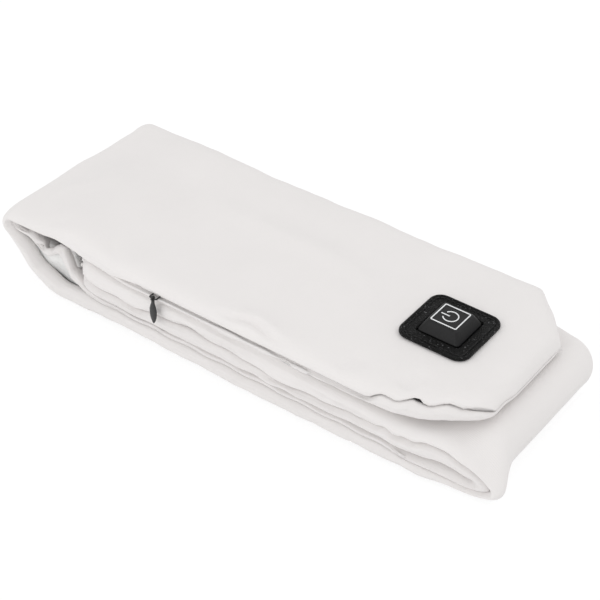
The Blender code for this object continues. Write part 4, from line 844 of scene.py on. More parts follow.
@dataclass
class Filling:
    """The soft filling under each cloth, with room for the pocket and for the control plate's tray."""

    cover: ScarfCover
    inset: float = 0.0042
    under: float = 0.0016
    core: float = 0.0013
    least: float = 0.00015
    thinnest: float = 0.0001
    lumps: Waves = Waves(0.0003, 0.012, 0.010, 5.5)
    margin: float = 0.001
    window_half: float = 0.0205
    window_sides: Pair = (0.0052, 0.0275)

    def build(self, side: Side, name: str) -> bpy.types.Object:
        """Makes one layer of filling.

        Args:
            side: The cloth that it lies under.
            name: The piece's name.

        Returns:
            The filling, as a closed piece.
        """
        tube = self.cover.tube
        flat = self.cover.grid(side)
        tail = tube.marks["tail"]
        s = self.inset + flat["s"] * (1 - 2 * self.inset / tail)
        v = flat["v"] * (1 - 2 * self.inset / tube.width)
        lumps = self.lumps.relief(s, v)
        outer = np.maximum(abs(flat["n"]) - self.under + lumps - self.lumps.height, self.core + self.least)
        inner = self.room(s, v, side)
        thick = outer - inner
        corners = (thick[:-1, :-1], thick[1:, :-1], thick[:-1, 1:], thick[1:, 1:])
        kept = np.minimum.reduce(corners) > self.thinnest
        rows, columns = s.shape
        shells = [tube.laid(s, v, side.value * outer), tube.laid(s, v, side.value * np.minimum(inner, outer))]
        count = rows * columns
        faces = []
        edges: dict[tuple[int, int], bool] = {}
        for i, k in zip(*np.nonzero(kept)):
            a = int(i) * columns + int(k)
            quad = (a, a + 1, a + columns + 1, a + columns)
            faces.append(quad)
            faces.append(tuple(count + q for q in reversed(quad)))
            for edge in zip(quad, (*quad[1:], quad[0])):
                if not edges.pop((edge[1], edge[0]), False):
                    edges[edge] = True
        faces += [(a, b, count + b, count + a) for a, b in edges]
        used = sorted({q for face in faces for q in face})
        new = {old: k for k, old in enumerate(used)}
        places = np.concatenate([shell.reshape(-1, 3) for shell in shells])[used]
        return piece(name, places, [tuple(new[q] for q in face) for face in faces])

    def room(self, s: np.ndarray, v: np.ndarray, side: Side) -> np.ndarray:
        """Gives the inner height of the filling, which leaves room for the pocket, the zip and the tray."""
        tube = self.cover.tube
        x = tube.end_x - s
        y = tube.axis_y + v
        inner = np.full(s.shape, self.core)
        low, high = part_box("pocket_bag")
        first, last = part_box("zip_tape_upper")
        in_pocket = (x > first.x - self.margin) & (x < last.x + self.margin) & (y < high.y + self.margin)
        inner[in_pocket] = (high.z - low.z) / 2 + self.lumps.height
        if side is Side.FACE:
            low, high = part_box("controller_back")
            in_window = abs(x - (low.x + high.x) / 2) < self.window_half
            in_window = in_window & (y > low.y - self.window_sides[0]) & (y < high.y + self.window_sides[1])
            inner[in_window] = 1.0
        return inner


@dataclass
class HeatingPad:
    """The two thin felt sheets that hold the heating wire, slightly raised over its runs."""

    thickness: float = 0.0003
    corner: float = 0.005
    pitch: float = 0.0116
    rest: float = 0.00003
    raised: float = 0.00004
    uneven: float = 0.00005
    feature: float = 0.02

    def build(self, node: str, name: str, way: int) -> bpy.types.Object:
        """Makes one sheet.

        Args:
            node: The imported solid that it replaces.
            name: The piece's name.
            way: The side on which the wire lies, 1 over the sheet and -1 under it.

        Returns:
            The sheet.
        """
        low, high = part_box(node)
        columns, rows = 90, 44
        middle = (low + high) / 2
        half = (high - low) / 2
        verts = []
        for j in range(rows + 1):
            y = (2 * j / rows - 1) * half.y
            over = max(0.0, (abs(y) - half.y + self.corner) / self.corner)
            short = self.corner * (1 - math.sqrt(max(0.0, 1 - over**2)))
            for i in range(columns + 1):
                x = (2 * i / columns - 1) * (half.x - short)
                lane = math.cos(2 * math.pi * (y / self.pitch - 0.5))
                wave = noise.noise((x / self.feature, y / self.feature, 4.0 + way))
                off = -way * (self.rest + self.raised * lane + self.uneven * wave)
                verts.append((middle.x + x, middle.y + y, middle.z + way * self.thickness / 2 + off))
        sheet = piece(name, verts, grid_faces(rows + 1, columns + 1))
        if (sheet.data.polygons[0].normal.z > 0) != (way > 0):
            sheet.data.flip_normals()
        thicken(sheet, self.thickness)
        return sheet


@dataclass
class PocketBag:
    """The battery pocket: one cloth folded back at its far side, open to the zip and sewn up at both ends."""

    cloth: float = 0.0005
    fullness: float = 5.0
    least_full: float = 0.09
    turn_back: float = 0.006
    softness: float = 0.05
    feature: float = 0.02

    def build(self, name: str) -> bpy.types.Object:
        """Makes the pocket."""
        low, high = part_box("pocket_bag")
        middle, half = (low + high) / 2, (high - low) / 2
        turn_y = high.y - self.turn_back
        path = [(y, 1.0) for y in np.linspace(low.y, turn_y, 26)]
        for a in np.linspace(math.pi / 2, -math.pi / 2, 11)[1:-1]:
            path.append((turn_y + self.turn_back * math.cos(a), math.copysign(abs(math.sin(a)) ** 0.7, a)))
        path += [(y, -1.0) for y in np.linspace(turn_y, low.y, 26)]
        columns = 64
        verts = []
        for i in range(columns + 1):
            share = math.sin(math.pi / 2 * (2 * i / columns - 1))
            full = max(self.least_full, (1 - abs(share) ** self.fullness) ** (1 / self.fullness))
            for y, up in path:
                soft = 1 - self.softness * (1 + noise.noise((share * 5, y / self.feature, up + 3.0)))
                z = middle.z + half.z * up * full * soft
                verts.append((middle.x + share * half.x, y, z))
        bag = piece(name, verts, grid_faces(columns + 1, len(path)))
        top = min(bag.data.polygons, key=lambda f: (f.center - Vector((middle.x, middle.y, high.z))).length)
        if top.normal.z < 0:
            bag.data.flip_normals()
        thicken(bag, self.cloth)
        return bag


@dataclass
class Zip:
    """The concealed zip: its tapes, its coils, its slider with a bent-wire crown, and its pull.

    The tapes' route gives depth and height in millimetres. The blade gives shares of its length, with half
    its width and half its thickness in millimetres. The slider's plate gives depth, half width and half
    height.
    """

    front_y: float
    seam_z: float
    coil_pitch: float = 0.0011
    coil_wire: float = 0.00016
    wire: float = 0.00038
    tape_thickness: float = 0.0004
    plate_depth: float = 0.0036
    flange_height: float = 0.00141
    crown_half: float = 0.0019
    crown_bend: float = 0.0006
    flange_reach: float = 0.0012
    flange_radius: float = 0.00021
    eye_radius: float = 0.00096
    eye_wire: float = 0.00023
    eye_spread: float = 0.00028
    blade_drop: float = 0.00085
    tape_route: Knots = (
        (5.7, 0.62), (6.6, 0.62), (7.4, 0.66), (8.0, 1.15),
        (8.7, 1.95), (9.3, 2.50), (9.9, 2.62), (10.55, 2.62),
    )
    slider_plate: tuple[Place, ...] = (
        (-0.0004, 0.0021, 0.0013), (-0.0002, 0.0025, 0.0016),
        (0.0002, 0.0025, 0.0016), (0.0004, 0.0021, 0.0013),
    )
    blade: tuple[Place, ...] = (
        (0.00, 0.95, 0.52), (0.06, 0.90, 0.50), (0.13, 0.92, 0.46), (0.19, 1.15, 0.50), (0.27, 1.55, 0.56),
        (0.38, 1.90, 0.60), (0.50, 2.04, 0.60), (0.62, 1.98, 0.58), (0.74, 1.72, 0.54), (0.85, 1.28, 0.47),
        (0.93, 0.82, 0.38), (0.98, 0.40, 0.26), (1.00, 0.10, 0.10),
    )

    def tape(self, node: str, name: str, way: int) -> bpy.types.Object:
        """Makes a tape: a woven strap that leaves the coil and opens out to the pocket."""
        low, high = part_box(node)
        columns = 120
        verts = []
        for i in range(columns + 1):
            x = low.x + (high.x - low.x) * i / columns
            for k, (depth, n) in enumerate(self.tape_route):
                wave = 0.05 * noise.noise((x / 0.006, k / 3, way))
                verts.append((x, self.front_y + depth / 1000, self.seam_z + way * (n + wave) / 1000))
        tape = piece(name, verts, grid_faces(columns + 1, len(self.tape_route)))
        thicken(tape, self.tape_thickness, 0.0)
        return tape

    def coil(self, node: str, name: str, late: float) -> bpy.types.Object:
        """Makes a coil: a nylon helix, the other one a half turn late."""
        low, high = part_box(node)
        middle = (low + high) / 2
        radius = (high.z - low.z) / 2 - self.coil_wire
        per_turn = 9
        count = int((high.x - low.x - 2 * self.coil_wire) / self.coil_pitch * per_turn)
        path = []
        for i in range(count + 1):
            a = 2 * math.pi * (i / per_turn + late)
            x = low.x + self.coil_wire + i / per_turn * self.coil_pitch
            path.append(Vector((x, middle.y + radius * math.cos(a), middle.z + radius * math.sin(a))))
        shells = Shells()
        shells.sweep(path, self.coil_wire, 6)
        return shells.make(name)

    def slider(self, name: str) -> bpy.types.Object:
        """Makes the slider: a bevelled plate with a flange at each end and a crown of bent wire."""
        _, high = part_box("zip_slider")
        pin = self.pin()
        plate_y = self.front_y + self.plate_depth
        shells = Shells()
        rings = []
        for off, half_x, half_z in self.slider_plate:
            ring = []
            for k in range(28):
                a = 2 * math.pi * k / 28
                across = math.copysign(abs(math.cos(a)) ** 0.5, math.cos(a)) * half_x
                up = math.copysign(abs(math.sin(a)) ** 0.5, math.sin(a)) * half_z
                ring.append((pin.x + across, plate_y + off, self.seam_z + up))
            rings.append(ring)
        shells.loft(rings)
        for way in (-1, 1):
            z = self.seam_z + way * self.flange_height
            for x in (-self.flange_reach, 0.0, self.flange_reach):
                ends = [Vector((pin.x + x, y, z)) for y in (plate_y, high.y)]
                shells.sweep(ends, self.flange_radius, 10)
        first_x, bend = pin.x - self.crown_half, self.crown_bend
        path = [Vector((first_x, y, self.seam_z)) for y in (plate_y - 0.0001, pin.y + 2 * bend)]
        for k in range(7):
            a = math.pi / 2 * k / 6
            x, y = first_x + bend * (1 - math.cos(a)), pin.y + bend * (1 - math.sin(a))
            path.append(Vector((x, y, self.seam_z)))
        path += [Vector((2 * pin.x - place.x, place.y, place.z)) for place in reversed(path)]
        shells.sweep(path, self.wire, 10)
        return shells.make(name)

    def pin(self) -> Vector:
        """Gives the middle of the crown's cross part, which the pull hangs on."""
        low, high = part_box("zip_pull")
        return Vector(((low.x + high.x) / 2, (low.y + high.y) / 2, self.seam_z))

    def pull(self, name: str) -> bpy.types.Object:
        """Makes the pull: an eye ring over a slender blade, thickest in its middle."""
        low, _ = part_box("zip_pull")
        pin = self.pin()
        shells = Shells()
        turns = [2 * math.pi * k / 24 for k in range(24)]
        eye = [pin + Vector((0.0, math.cos(a), math.sin(a))) * self.eye_radius for a in turns]
        for off in (-self.eye_spread, 0.0, self.eye_spread):
            shells.sweep([place + Vector((off, 0.0, 0.0)) for place in eye], self.eye_wire, 8, joined=True)
        top = pin.z - self.blade_drop
        rings = []
        for share, half_x, half_y in self.blade:
            z = top + (low.z + 0.0001 - top) * share
            ring = []
            for k in range(20):
                a = 2 * math.pi * k / 20
                up = math.copysign(abs(math.sin(a)) ** 0.8, math.sin(a))
                ring.append((pin.x + half_x / 1000 * math.cos(a), pin.y + half_y / 1000 * up, z))
            rings.append(ring)
        shells.loft(rings)
        return shells.make(name)


@dataclass
class ControlPlate:
    """The soft rubber plate round the button, with a raised rim, and the thread that sews it on.

    The profile gives the inset from the plate's side and the depth under its top. The stitch gives shares of
    its length and its height over the track.
    """

    corner: float = 0.006
    least_corner: float = 0.0012
    stitch_half: float = 0.0151
    stitch_radius: float = 0.0036
    stitch_pitch: float = 0.0026
    thread: float = 0.00021
    foot: Knots = ((0.0004, 0.0), (0.0001, 0.00015), (0.0, 0.0004))
    profile: Knots = (
        (0.0, 0.0008), (0.0001, 0.00045), (0.0004, 0.00015), (0.0008, 0.0), (0.0012, 0.00008),
        (0.0015, 0.0003), (0.0018, 0.00042), (0.0021, 0.0005), (0.0024, 0.00062), (0.0027, 0.0005),
        (0.0030, 0.0004), (0.0045, 0.0004), (0.0060, 0.0004), (0.0064, 0.00045), (0.00665, 0.0007),
    )
    stitch: Knots = (
        (0.0, -0.0003), (0.12, 0.00005), (0.32, 0.0002), (0.5, 0.00024), (0.68, 0.0002), (0.88, 0.00005),
        (1.0, -0.0003),
    )

    def plate(self, name: str) -> bpy.types.Object:
        """Makes the plate."""
        low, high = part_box("controller_flange")
        middle = (low + high) / 2
        half = (high.x - low.x) / 2
        rows = [(inset, low.z + up) for inset, up in self.foot]
        rows += [(inset, high.z - depth) for inset, depth in self.profile]
        rings = []
        for inset, z in (*rows, (self.profile[-1][0], low.z)):
            radius = max(self.least_corner, self.corner - inset * 0.72)
            rings.append(rounded_square(middle, half - inset, radius, z))
        shells = Shells()
        shells.loft(rings, joined=True)
        return shells.make(name)

    def stitching(self, name: str) -> bpy.types.Object:
        """Makes the stitches, each an arch of thread along the rim's inside."""
        low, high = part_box("controller_flange")
        middle = (low + high) / 2
        track = rounded_square(middle, self.stitch_half, self.stitch_radius, high.z - 0.00045, 10)
        steps = [(b - a).length for a, b in zip(track, [*track[1:], track[0]])]
        total = sum(steps)
        count = round(total / self.stitch_pitch)
        shells = Shells()

        def at(distance: float) -> Vector:
            """Gives a place on the track."""
            left = distance % total
            for place, after, step in zip(track, [*track[1:], track[0]], steps):
                if left <= step:
                    return place.lerp(after, left / step)
                left -= step
            return track[0].copy()

        for i in range(count):
            path = []
            for share, lift in self.stitch:
                place = at((i + 0.1 + 0.8 * share) * total / count)
                path.append(place + Vector((0.0, 0.0, lift)))
            shells.sweep(path, self.thread, 8)
        return shells.make(name)


class Nodes:
    """A material's or a group's node tree, filled through short calls."""

    def __init__(self, tree: bpy.types.NodeTree) -> None:
        """Takes the tree to fill."""
        self.tree = tree

    def add(self, kind: str, inputs: dict[Any, Any] | None = None, **settings: Any) -> bpy.types.Node:
        """Adds a node.

        Args:
            kind: The node's type, without its ShaderNode start.
            inputs: Values or sockets for its inputs, by name or number.
            settings: The node's own properties.

        Returns:
            The node.
        """
        node = self.tree.nodes.new(kind if kind.startswith("Node") else "ShaderNode" + kind)
        for name, value in settings.items():
            setattr(node, name, value)
        for name, value in (inputs or {}).items():
            if isinstance(value, bpy.types.NodeSocket):
                self.tree.links.new(value, node.inputs[name])
            else:
                node.inputs[name].default_value = value
        return node

    def math(self, operation: str, *values: Any) -> bpy.types.NodeSocket:
        """Adds a math node and gives its output."""
        return self.add("Math", dict(enumerate(values)), operation=operation).outputs[0]

    def mix(self, share: Any, first: Any, last: Any, **settings: Any) -> bpy.types.NodeSocket:
        """Mixes two colours and gives the output."""
        return self.add("Mix", {0: share, 6: first, 7: last}, data_type="RGBA", **settings).outputs[2]

    def tinted(self, colour: Colour, shade: Any) -> bpy.types.NodeSocket:
        """Multiplies a colour by a shade and gives the output."""
        return self.mix(1.0, (*colour, 1.0), shade, blend_type="MULTIPLY")

    def scaled(self, place: bpy.types.NodeSocket, size: bpy.types.NodeSocket) -> bpy.types.NodeSocket:
        """Divides a place by a size and gives the output."""
        scale = self.math("DIVIDE", 1.0, size)
        return self.add("VectorMath", {0: place, "Scale": scale}, operation="SCALE").outputs[0]

    def noise(self, place: bpy.types.NodeSocket, scale: float, detail: float, rough: float = 0.5) -> Any:
        """Adds a noise and gives its outputs."""
        inputs = {"Vector": place, "Scale": scale, "Detail": detail, "Roughness": rough}
        return self.add("TexNoise", inputs).outputs

    def ramp(self, value: Any, low: Any, high: Any, top: float = 1.0, **settings: Any) -> Any:
        """Adds a ramp from 0 to a top, between two values, and gives its output."""
        return self.add("MapRange", {0: value, 1: low, 2: high, 3: 0.0, 4: top}, **settings).outputs[0]

    def shared(self, name: str, inputs: dict[str, Any]) -> bpy.types.bpy_prop_collection:
        """Adds a shared node group and gives its outputs."""
        return self.add("Group", inputs, node_tree=bpy.data.node_groups[name]).outputs

    def join(self, node: bpy.types.Node, sockets: dict[str, bpy.types.NodeSocket]) -> None:
        """Links outputs to a node's inputs, by the names of the inputs."""
        for name, socket in sockets.items():
            self.tree.links.new(socket, node.inputs[name])

    def seen(self) -> bpy.types.NodeSocket:
        """Gives 1 to a ray of the camera, of a reflection or of a transmission, and else 0."""
        ray = self.add("LightPath").outputs
        mirrored = self.math("MAXIMUM", ray["Is Glossy Ray"], ray["Is Transmission Ray"])
        return self.math("MAXIMUM", ray["Is Camera Ray"], mirrored)


def group(
    name: str, inputs: dict[str, float | None], outputs: Sequence[str]
) -> tuple[bpy.types.NodeTree, Nodes, Any, bpy.types.Node]:
    """Starts a shader node group.

    Args:
        name: The group's name.
        inputs: Each input's first value by its name, or None where it takes a place.
        outputs: The names of its outputs, each of them a number.

    Returns:
        The group, its nodes, the outputs of its input node, and its output node.
    """
    tree = bpy.data.node_groups.new(name, "ShaderNodeTree")
    for label, value in inputs.items():
        kind = "NodeSocketVector" if value is None else "NodeSocketFloat"
        socket = tree.interface.new_socket(name=label, in_out="INPUT", socket_type=kind)
        if value is not None:
            socket.default_value = value
    for label in outputs:
        tree.interface.new_socket(name=label, in_out="OUTPUT", socket_type="NodeSocketFloat")
    nodes = Nodes(tree)
    return tree, nodes, nodes.add("NodeGroupInput").outputs, nodes.add("NodeGroupOutput")


def make_knit_group() -> bpy.types.NodeTree:
    """Makes the fine knit: columns of V-shaped loops with a brushed nap, as a height and a painted shade that
    is darker where the loops and nap sit low.
    """
    inputs = {"Place": None, "Wale": 0.0008, "Nap": 0.5}
    tree, nodes, start, end = group("fine_knit", inputs, ("Height", "Shade"))
    places = nodes.scaled(start["Place"], start["Wale"])
    parts = nodes.add("SeparateXYZ", {0: places}).outputs
    column = nodes.math("FRACT", parts[1])
    lean = nodes.math("ABSOLUTE", nodes.math("SUBTRACT", column, 0.5))
    course = nodes.math("ADD", nodes.math("MULTIPLY", parts[0], 1.35), lean)
    loop = nodes.math("ABSOLUTE", nodes.math("SINE", nodes.math("MULTIPLY", course, math.pi)))
    knit = nodes.math("MULTIPLY", loop, nodes.math("SINE", nodes.math("MULTIPLY", column, math.pi)))
    nap = nodes.math("MULTIPLY", nodes.noise(places, 2.3, 3.0, 0.65)[0], start["Nap"])
    bare = nodes.math("MULTIPLY", knit, nodes.math("SUBTRACT", 1.0, start["Nap"]))
    height = nodes.math("ADD", bare, nap)
    # the shade follows the height: painted shade in the knit's low places
    nodes.join(end, {"Height": height, "Shade": nodes.math("ADD", nodes.math("MULTIPLY", height, 0.5), 0.5)})
    return tree


def make_mottle_group() -> bpy.types.NodeTree:
    """Makes broad and fine unevenness of a colour, as a shade about 1 and a mask."""
    inputs = {"Place": None, "Size": 0.03, "Strength": 0.05}
    tree, nodes, start, end = group("mottle", inputs, ("Shade", "Mask"))
    broad = nodes.noise(nodes.scaled(start["Place"], start["Size"]), 1.0, 4.0, 0.55)[0]
    off = nodes.math("MULTIPLY", nodes.math("SUBTRACT", broad, 0.5), start["Strength"])
    nodes.join(end, {"Shade": nodes.math("ADD", 1.0, off), "Mask": broad})
    return tree


def make_grain_group() -> bpy.types.NodeTree:
    """Makes a moulded leather-like grain: raised cells with creases between them, as a height and a mask."""
    inputs = {"Place": None, "Cell": 0.001, "Depth": 0.5}
    tree, nodes, start, end = group("moulded_grain", inputs, ("Height", "Crease"))
    places = nodes.scaled(start["Place"], start["Cell"])
    warp = nodes.noise(places, 0.7, 2.0)[1]
    moved = nodes.add("VectorMath", {0: places, 1: warp}, operation="ADD").outputs[0]
    cells = nodes.add("TexVoronoi", {"Vector": moved, "Scale": 1.0}, feature="DISTANCE_TO_EDGE").outputs[0]
    ridge = nodes.ramp(cells, 0.0, 0.22, interpolation_type="SMOOTHSTEP")
    fine = nodes.math("MULTIPLY", nodes.noise(places, 4.0, 3.0)[0], 0.35)
    height = nodes.math("ADD", nodes.math("MULTIPLY", ridge, start["Depth"]), fine)
    nodes.join(end, {"Height": height, "Crease": nodes.math("SUBTRACT", 1.0, ridge)})
    return tree


def make_edge_group() -> bpy.types.NodeTree:
    """Makes the paler sharp edges of a moulding, as a mask: partly rubbed wear, partly a painted highlight
    where the edges catch the light.
    """
    tree, nodes, start, end = group("edge_wear_and_highlight", {"Reach": 0.5, "Strength": 0.5}, ("Mask",))
    sharp = nodes.add("NewGeometry").outputs["Pointiness"]
    low = nodes.math("ADD", 0.5, nodes.math("MULTIPLY", start["Reach"], 0.04))
    # paler where the surface is sharply curved: partly rubbed wear, partly a painted highlight on the edges
    mask = nodes.ramp(sharp, low, nodes.math("ADD", low, 0.06))
    nodes.join(end, {"Mask": nodes.math("MULTIPLY", mask, start["Strength"])})
    return tree


def shader_of(material: bpy.types.Material) -> bpy.types.Node:
    """Gives a material's shader, with its node tree switched on."""
    material.use_nodes = True
    return material.node_tree.nodes["Principled BSDF"]


@dataclass(frozen=True)
class ClothFinish:
    """A knitted or woven cloth."""

    name: str
    colour: Colour
    wale: float = 0.0008
    nap: float = 0.55
    depth: float = 0.00012
    sheen: float = 0.25
    mottle: float = 0.04
    flat: bool = True

    def build(self) -> bpy.types.Material:
        """Makes the material."""
        material = bpy.data.materials.new(self.name)
        shader = shader_of(material)
        nodes = Nodes(material.node_tree)
        if self.flat:
            place = nodes.add("Attribute", attribute_name=FLAT_PLACE).outputs["Vector"]
        else:
            place = nodes.add("TexCoord").outputs["Object"]
        knit = nodes.shared("fine_knit", {"Place": place, "Wale": self.wale, "Nap": self.nap})
        mottle = nodes.shared("mottle", {"Place": place, "Strength": self.mottle})
        # painted shade: the colour is a little darker where the knit sits low, and is also mottled at random
        shade = nodes.math("ADD", 0.97, nodes.math("MULTIPLY", knit["Shade"], 0.04))
        shade = nodes.math("MULTIPLY", shade, mottle["Shade"])
        bump = nodes.add("Bump", {"Strength": 0.6, "Distance": self.depth, "Height": knit["Height"]})
        rough = nodes.math("SUBTRACT", 0.96, nodes.math("MULTIPLY", knit["Shade"], 0.06))
        colour = nodes.tinted(self.colour, shade)
        nodes.join(shader, {"Base Color": colour, "Normal": bump.outputs[0], "Roughness": rough})
        shader.inputs["Specular IOR Level"].default_value = 0.2
        shader.inputs["Sheen Weight"].default_value = self.sheen
        shader.inputs["Sheen Roughness"].default_value = 0.5
        return material


@dataclass(frozen=True)
class MouldedFinish:
    """A moulded, printed or lacquered plastic or rubber."""

    name: str
    colour: Colour
    roughness: float
    cell: float = 0.0006
    grain: float = 0.3
    depth: float = 0.00005
    # strength of the paler sharp edges: partly rubbed wear, partly a painted highlight
    edge: float = 0.25
    coat: float = 0.0
    metallic: float = 0.0
    specular: float = 0.5
    # share of painted glint specks mixed into the colour
    speck: float = 0.0

    def build(self) -> bpy.types.Material:
        """Makes the material."""
        material = bpy.data.materials.new(self.name)
        shader = shader_of(material)
        nodes = Nodes(material.node_tree)
        place = nodes.add("TexCoord").outputs["Object"]
        grain = nodes.shared("moulded_grain", {"Place": place, "Cell": self.cell, "Depth": self.grain})
        mottle = nodes.shared("mottle", {"Place": place, "Size": 0.008, "Strength": 0.25})
        # edge mask: partly rubbed wear, partly a painted highlight on sharp edges
        edge = nodes.shared("edge_wear_and_highlight", {"Reach": 0.4, "Strength": self.edge})
        pale = tuple(min(1.0, value * 1.6 + 0.03) for value in self.colour)
        # sharp edges mixed towards a paler colour: partly rubbed wear, partly a painted highlight
        colour = nodes.mix(edge[0], nodes.tinted(self.colour, mottle["Shade"]), (*pale, 1.0))
        # painted glints: pale specks mixed into the colour where a fine noise peaks
        if self.speck:
            glint_specks = nodes.shared("mottle", {"Place": place, "Size": 0.0009})
            colour = nodes.mix(nodes.ramp(glint_specks["Mask"], 0.62, 0.70, self.speck), colour, PAINTED_GLINT_COLOUR)
        rough = nodes.math("ADD", self.roughness, nodes.math("MULTIPLY", grain["Crease"], 0.12))
        bump = nodes.add("Bump", {"Strength": 0.7, "Distance": self.depth, "Height": grain["Height"]})
        nodes.join(shader, {"Base Color": colour, "Roughness": rough, "Normal": bump.outputs[0]})
        shader.inputs["Metallic"].default_value = self.metallic
        shader.inputs["Specular IOR Level"].default_value = self.specular
        shader.inputs["Coat Weight"].default_value = self.coat
        shader.inputs["Coat Roughness"].default_value = 0.25
        return material


FINISHES: tuple[ClothFinish | MouldedFinish, ...] = (
    ClothFinish("ivory_cloth", (0.84, 0.815, 0.805)),
    ClothFinish("lining_cloth", (0.82, 0.795, 0.785), wale=0.0007, nap=0.45),
    ClothFinish("wadding", (0.90, 0.90, 0.89), wale=0.004, nap=1.0, depth=0.0008, mottle=0.10, flat=False),
    ClothFinish("pad_fleece", (0.70, 0.70, 0.68), wale=0.0015, nap=0.9, depth=0.0003, flat=False),
    MouldedFinish(
        "black_rubber", (0.004, 0.004, 0.004), 0.42, cell=0.0012, grain=1.0, depth=0.0009, edge=0.06,
        specular=0.16, speck=0.60,
    ),
    MouldedFinish(
        "black_plastic", (0.006, 0.006, 0.0065), 0.40, cell=0.0005, depth=0.00004, edge=0.15, specular=0.25
    ),
    MouldedFinish(
        "black_thread", (0.014, 0.014, 0.014), 0.7, cell=0.0004, grain=0.8, depth=0.00008, specular=0.3
    ),
    MouldedFinish("icon_white", (0.85, 0.86, 0.87), 0.45, edge=0.0),
    MouldedFinish("milky_plastic", (0.80, 0.80, 0.78), 0.35),
    MouldedFinish("board_green", (0.03, 0.14, 0.07), 0.38, cell=0.0012, grain=0.9, coat=0.3),
    MouldedFinish("chip_black", (0.02, 0.02, 0.02), 0.55),
    MouldedFinish("switch_steel", (0.55, 0.55, 0.56), 0.32, metallic=1.0),
    MouldedFinish("led_clear", (0.85, 0.80, 0.60), 0.2, coat=0.5),
    MouldedFinish(
        "zip_black", (0.006, 0.006, 0.0065), 0.32, cell=0.0008, grain=0.2, depth=0.00003, edge=0.1, coat=0.15
    ),
    MouldedFinish("zip_white", (0.78, 0.77, 0.76), 0.55),
    MouldedFinish("carbon_wire", (0.03, 0.03, 0.035), 0.5),
    MouldedFinish("red_lead", (0.45, 0.02, 0.02), 0.4),
    MouldedFinish("black_lead", (0.02, 0.02, 0.02), 0.4),
)


@dataclass(frozen=True)
class Studio:
    """The camera at the photograph's angle, a pale floor, and soft lamps by name, place, size and power."""

    azimuth: float = math.radians(35.07)
    elevation: float = math.radians(38.12)
    roll: float = math.radians(1.50)
    lens: float = 100.53
    eye: Place = (0.34984, -0.49326, 0.49297)
    world_light: float = 0.81
    floor_size: float = 6.0
    floor_glow: float = 1.07
    floor_glow_share: float = 0.80
    lamps: tuple[tuple[str, Place, float, float], ...] = (
        ("top_lamp", (0.36, 0.28, 1.00), 0.9, 1.65),
        ("front_lamp", (-0.10, -1.00, 0.42), 0.8, 2.1),
    )

    def build(self) -> None:
        """Makes the camera, the world, the floor and the lamps."""
        self.make_camera()
        self.make_world()
        self.make_floor()
        for lamp in self.lamps:
            self.make_lamp(*lamp)
        bpy.context.scene.view_settings.view_transform = "Standard"

    def make_camera(self) -> None:
        """Makes the camera."""
        camera = linked("camera", bpy.data.cameras.new("camera"))
        camera.data.lens = self.lens
        camera.data.clip_start = 0.05
        camera.data.clip_end = 20.0
        a, e, r = self.azimuth, self.elevation, self.roll
        back = Vector((math.sin(a) * math.cos(e), -math.cos(a) * math.cos(e), math.sin(e)))
        right = Vector((math.cos(a), math.sin(a), 0.0))
        up = back.cross(right)
        rolled = right * math.cos(r) + up * math.sin(r)
        raised = up * math.cos(r) - right * math.sin(r)
        turn = Matrix((rolled, raised, back)).transposed().to_4x4()
        camera.matrix_world = Matrix.Translation(self.eye) @ turn
        bpy.context.scene.camera = camera

    def make_world(self) -> None:
        """Makes a plain white world, whose light on the object is softer than what the camera sees."""
        world = bpy.data.worlds.new("studio")
        bpy.context.scene.world = world
        world.use_nodes = True
        nodes = Nodes(world.node_tree)
        seen = nodes.math("MULTIPLY", nodes.seen(), 1.0 - self.world_light)
        background = world.node_tree.nodes["Background"]
        background.inputs["Color"].default_value = WHITE
        nodes.join(background, {"Strength": nodes.math("ADD", self.world_light, seen)})

    def make_floor(self) -> None:
        """Makes the floor, white to the camera apart from a part of the object's shadow."""
        bm = bmesh.new()
        bmesh.ops.create_grid(bm, x_segments=1, y_segments=1, size=self.floor_size)
        mesh = bpy.data.meshes.new("floor")
        bm.to_mesh(mesh)
        bm.free()
        floor = linked("floor", mesh)
        floor.location = (0.0, 0.0, -0.0002)
        material = bpy.data.materials.new("floor_white")
        shader = shader_of(material)
        shader.inputs["Base Color"].default_value = (0.93, 0.93, 0.93, 1.0)
        shader.inputs["Roughness"].default_value = 0.9
        nodes = Nodes(material.node_tree)
        glow = nodes.add("Emission", {"Color": WHITE, "Strength": self.floor_glow})
        share = nodes.math("MULTIPLY", nodes.seen(), self.floor_glow_share)
        mixed = nodes.add("MixShader", {0: share, 1: shader.outputs[0], 2: glow.outputs[0]})
        nodes.join(material.node_tree.nodes["Material Output"], {"Surface": mixed.outputs[0]})
        mesh.materials.append(material)

    def make_lamp(self, name: str, place: Place, size: float, power: float) -> None:
        """Makes a soft square lamp that looks at the object."""
        light = bpy.data.lights.new(name, "AREA")
        light.size = size
        light.energy = power
        lamp = linked(name, light)
        lamp.location = place
        lamp.rotation_euler = (-Vector(place)).to_track_quat("-Z", "Y").to_euler()


def dress_solids(frame: dict[str, Any], finishes: dict[str, bpy.types.Material]) -> None:
    """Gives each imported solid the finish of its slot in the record."""
    for row in frame["record"]["subparts"]:
        solid = frame["nodes"][row["node"]]
        finish = finishes[row["material_slot"]]
        for slot in solid.material_slots:
            slot.material = finish


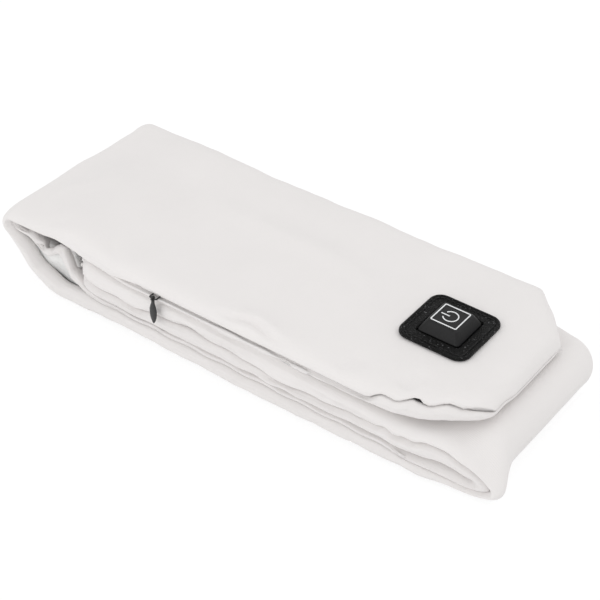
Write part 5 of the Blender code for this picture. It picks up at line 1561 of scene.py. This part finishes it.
@dataclass
class Dresser:
    """Gives each made piece its finish, its slot, the body that it rides, and the solid that it replaces."""

    finishes: dict[str, bpy.types.Material]

    def put(self, obj: bpy.types.Object, slot: str, node: str, body: str = "root") -> bpy.types.Object:
        """Finishes a piece.

        Args:
            obj: The piece.
            slot: Its slot in the record.
            node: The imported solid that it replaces.
            body: The body that it rides.

        Returns:
            The piece.
        """
        obj.data.materials.clear()
        obj.data.materials.append(self.finishes[slot])
        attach(obj, body)
        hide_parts(node)
        LOG.info("%s: %d faces", obj.name, len(obj.data.polygons))
        return obj


def main() -> None:
    """Builds the pieces in order and reports each of them."""
    logging.basicConfig(level=logging.INFO, format="%(message)s")
    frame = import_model()
    for make in (make_knit_group, make_mottle_group, make_grain_group, make_edge_group):
        make()
    finishes = {finish.name: finish.build() for finish in FINISHES}
    Studio().build()
    dress_solids(frame, finishes)
    dress = Dresser(finishes)
    tube = ScarfTube()
    cover = ScarfCover(tube)
    for side, name, node, slot in (
        (Side.FACE, "face_cloth", "cover_face_panel", "ivory_cloth"),
        (Side.LINING, "inner_cloth", "cover_lining_panel", "lining_cloth"),
    ):
        cloth = dress.put(cover.build(side, name), slot, node)
    filling = Filling(cover)
    for side, name, node in (
        (Side.FACE, "filling_face", "wadding_face_layer"),
        (Side.LINING, "filling_lining", "wadding_lining_layer"),
    ):
        dress.put(filling.build(side, name), "wadding", node)
    pad = HeatingPad()
    for node, name, way in (("heater_carrier", "pad_carrier", 1), ("heater_cover", "pad_cover", -1)):
        sheet = dress.put(pad.build(node, name, way), "pad_fleece", node)
    bag = dress.put(PocketBag().build("battery_pocket"), "lining_cloth", "pocket_bag")
    fastener = Zip(tube.axis_y - tube.width / 2, tube.top_z)
    for way, name in ((1, "upper"), (-1, "lower")):
        tape, coil = "zip_tape_" + name, "zip_coil_" + name
        dress.put(fastener.tape(tape, "woven_tape_" + name, way), "zip_white", tape)
        dress.put(fastener.coil(coil, "nylon_coil_" + name, 0.25 * (1 - way)), "zip_white", coil)
    dress.put(fastener.slider("slider_and_crown"), "zip_black", "zip_slider", "slider")
    dress.put(fastener.pull("slender_pull"), "zip_black", "zip_pull", "pull")
    plate = ControlPlate()
    dress.put(plate.plate("control_plate"), "black_rubber", "controller_flange")
    dress.put(plate.stitching("plate_stitches"), "black_thread", "controller_stitching")


if __name__ == "__main__":
    main()
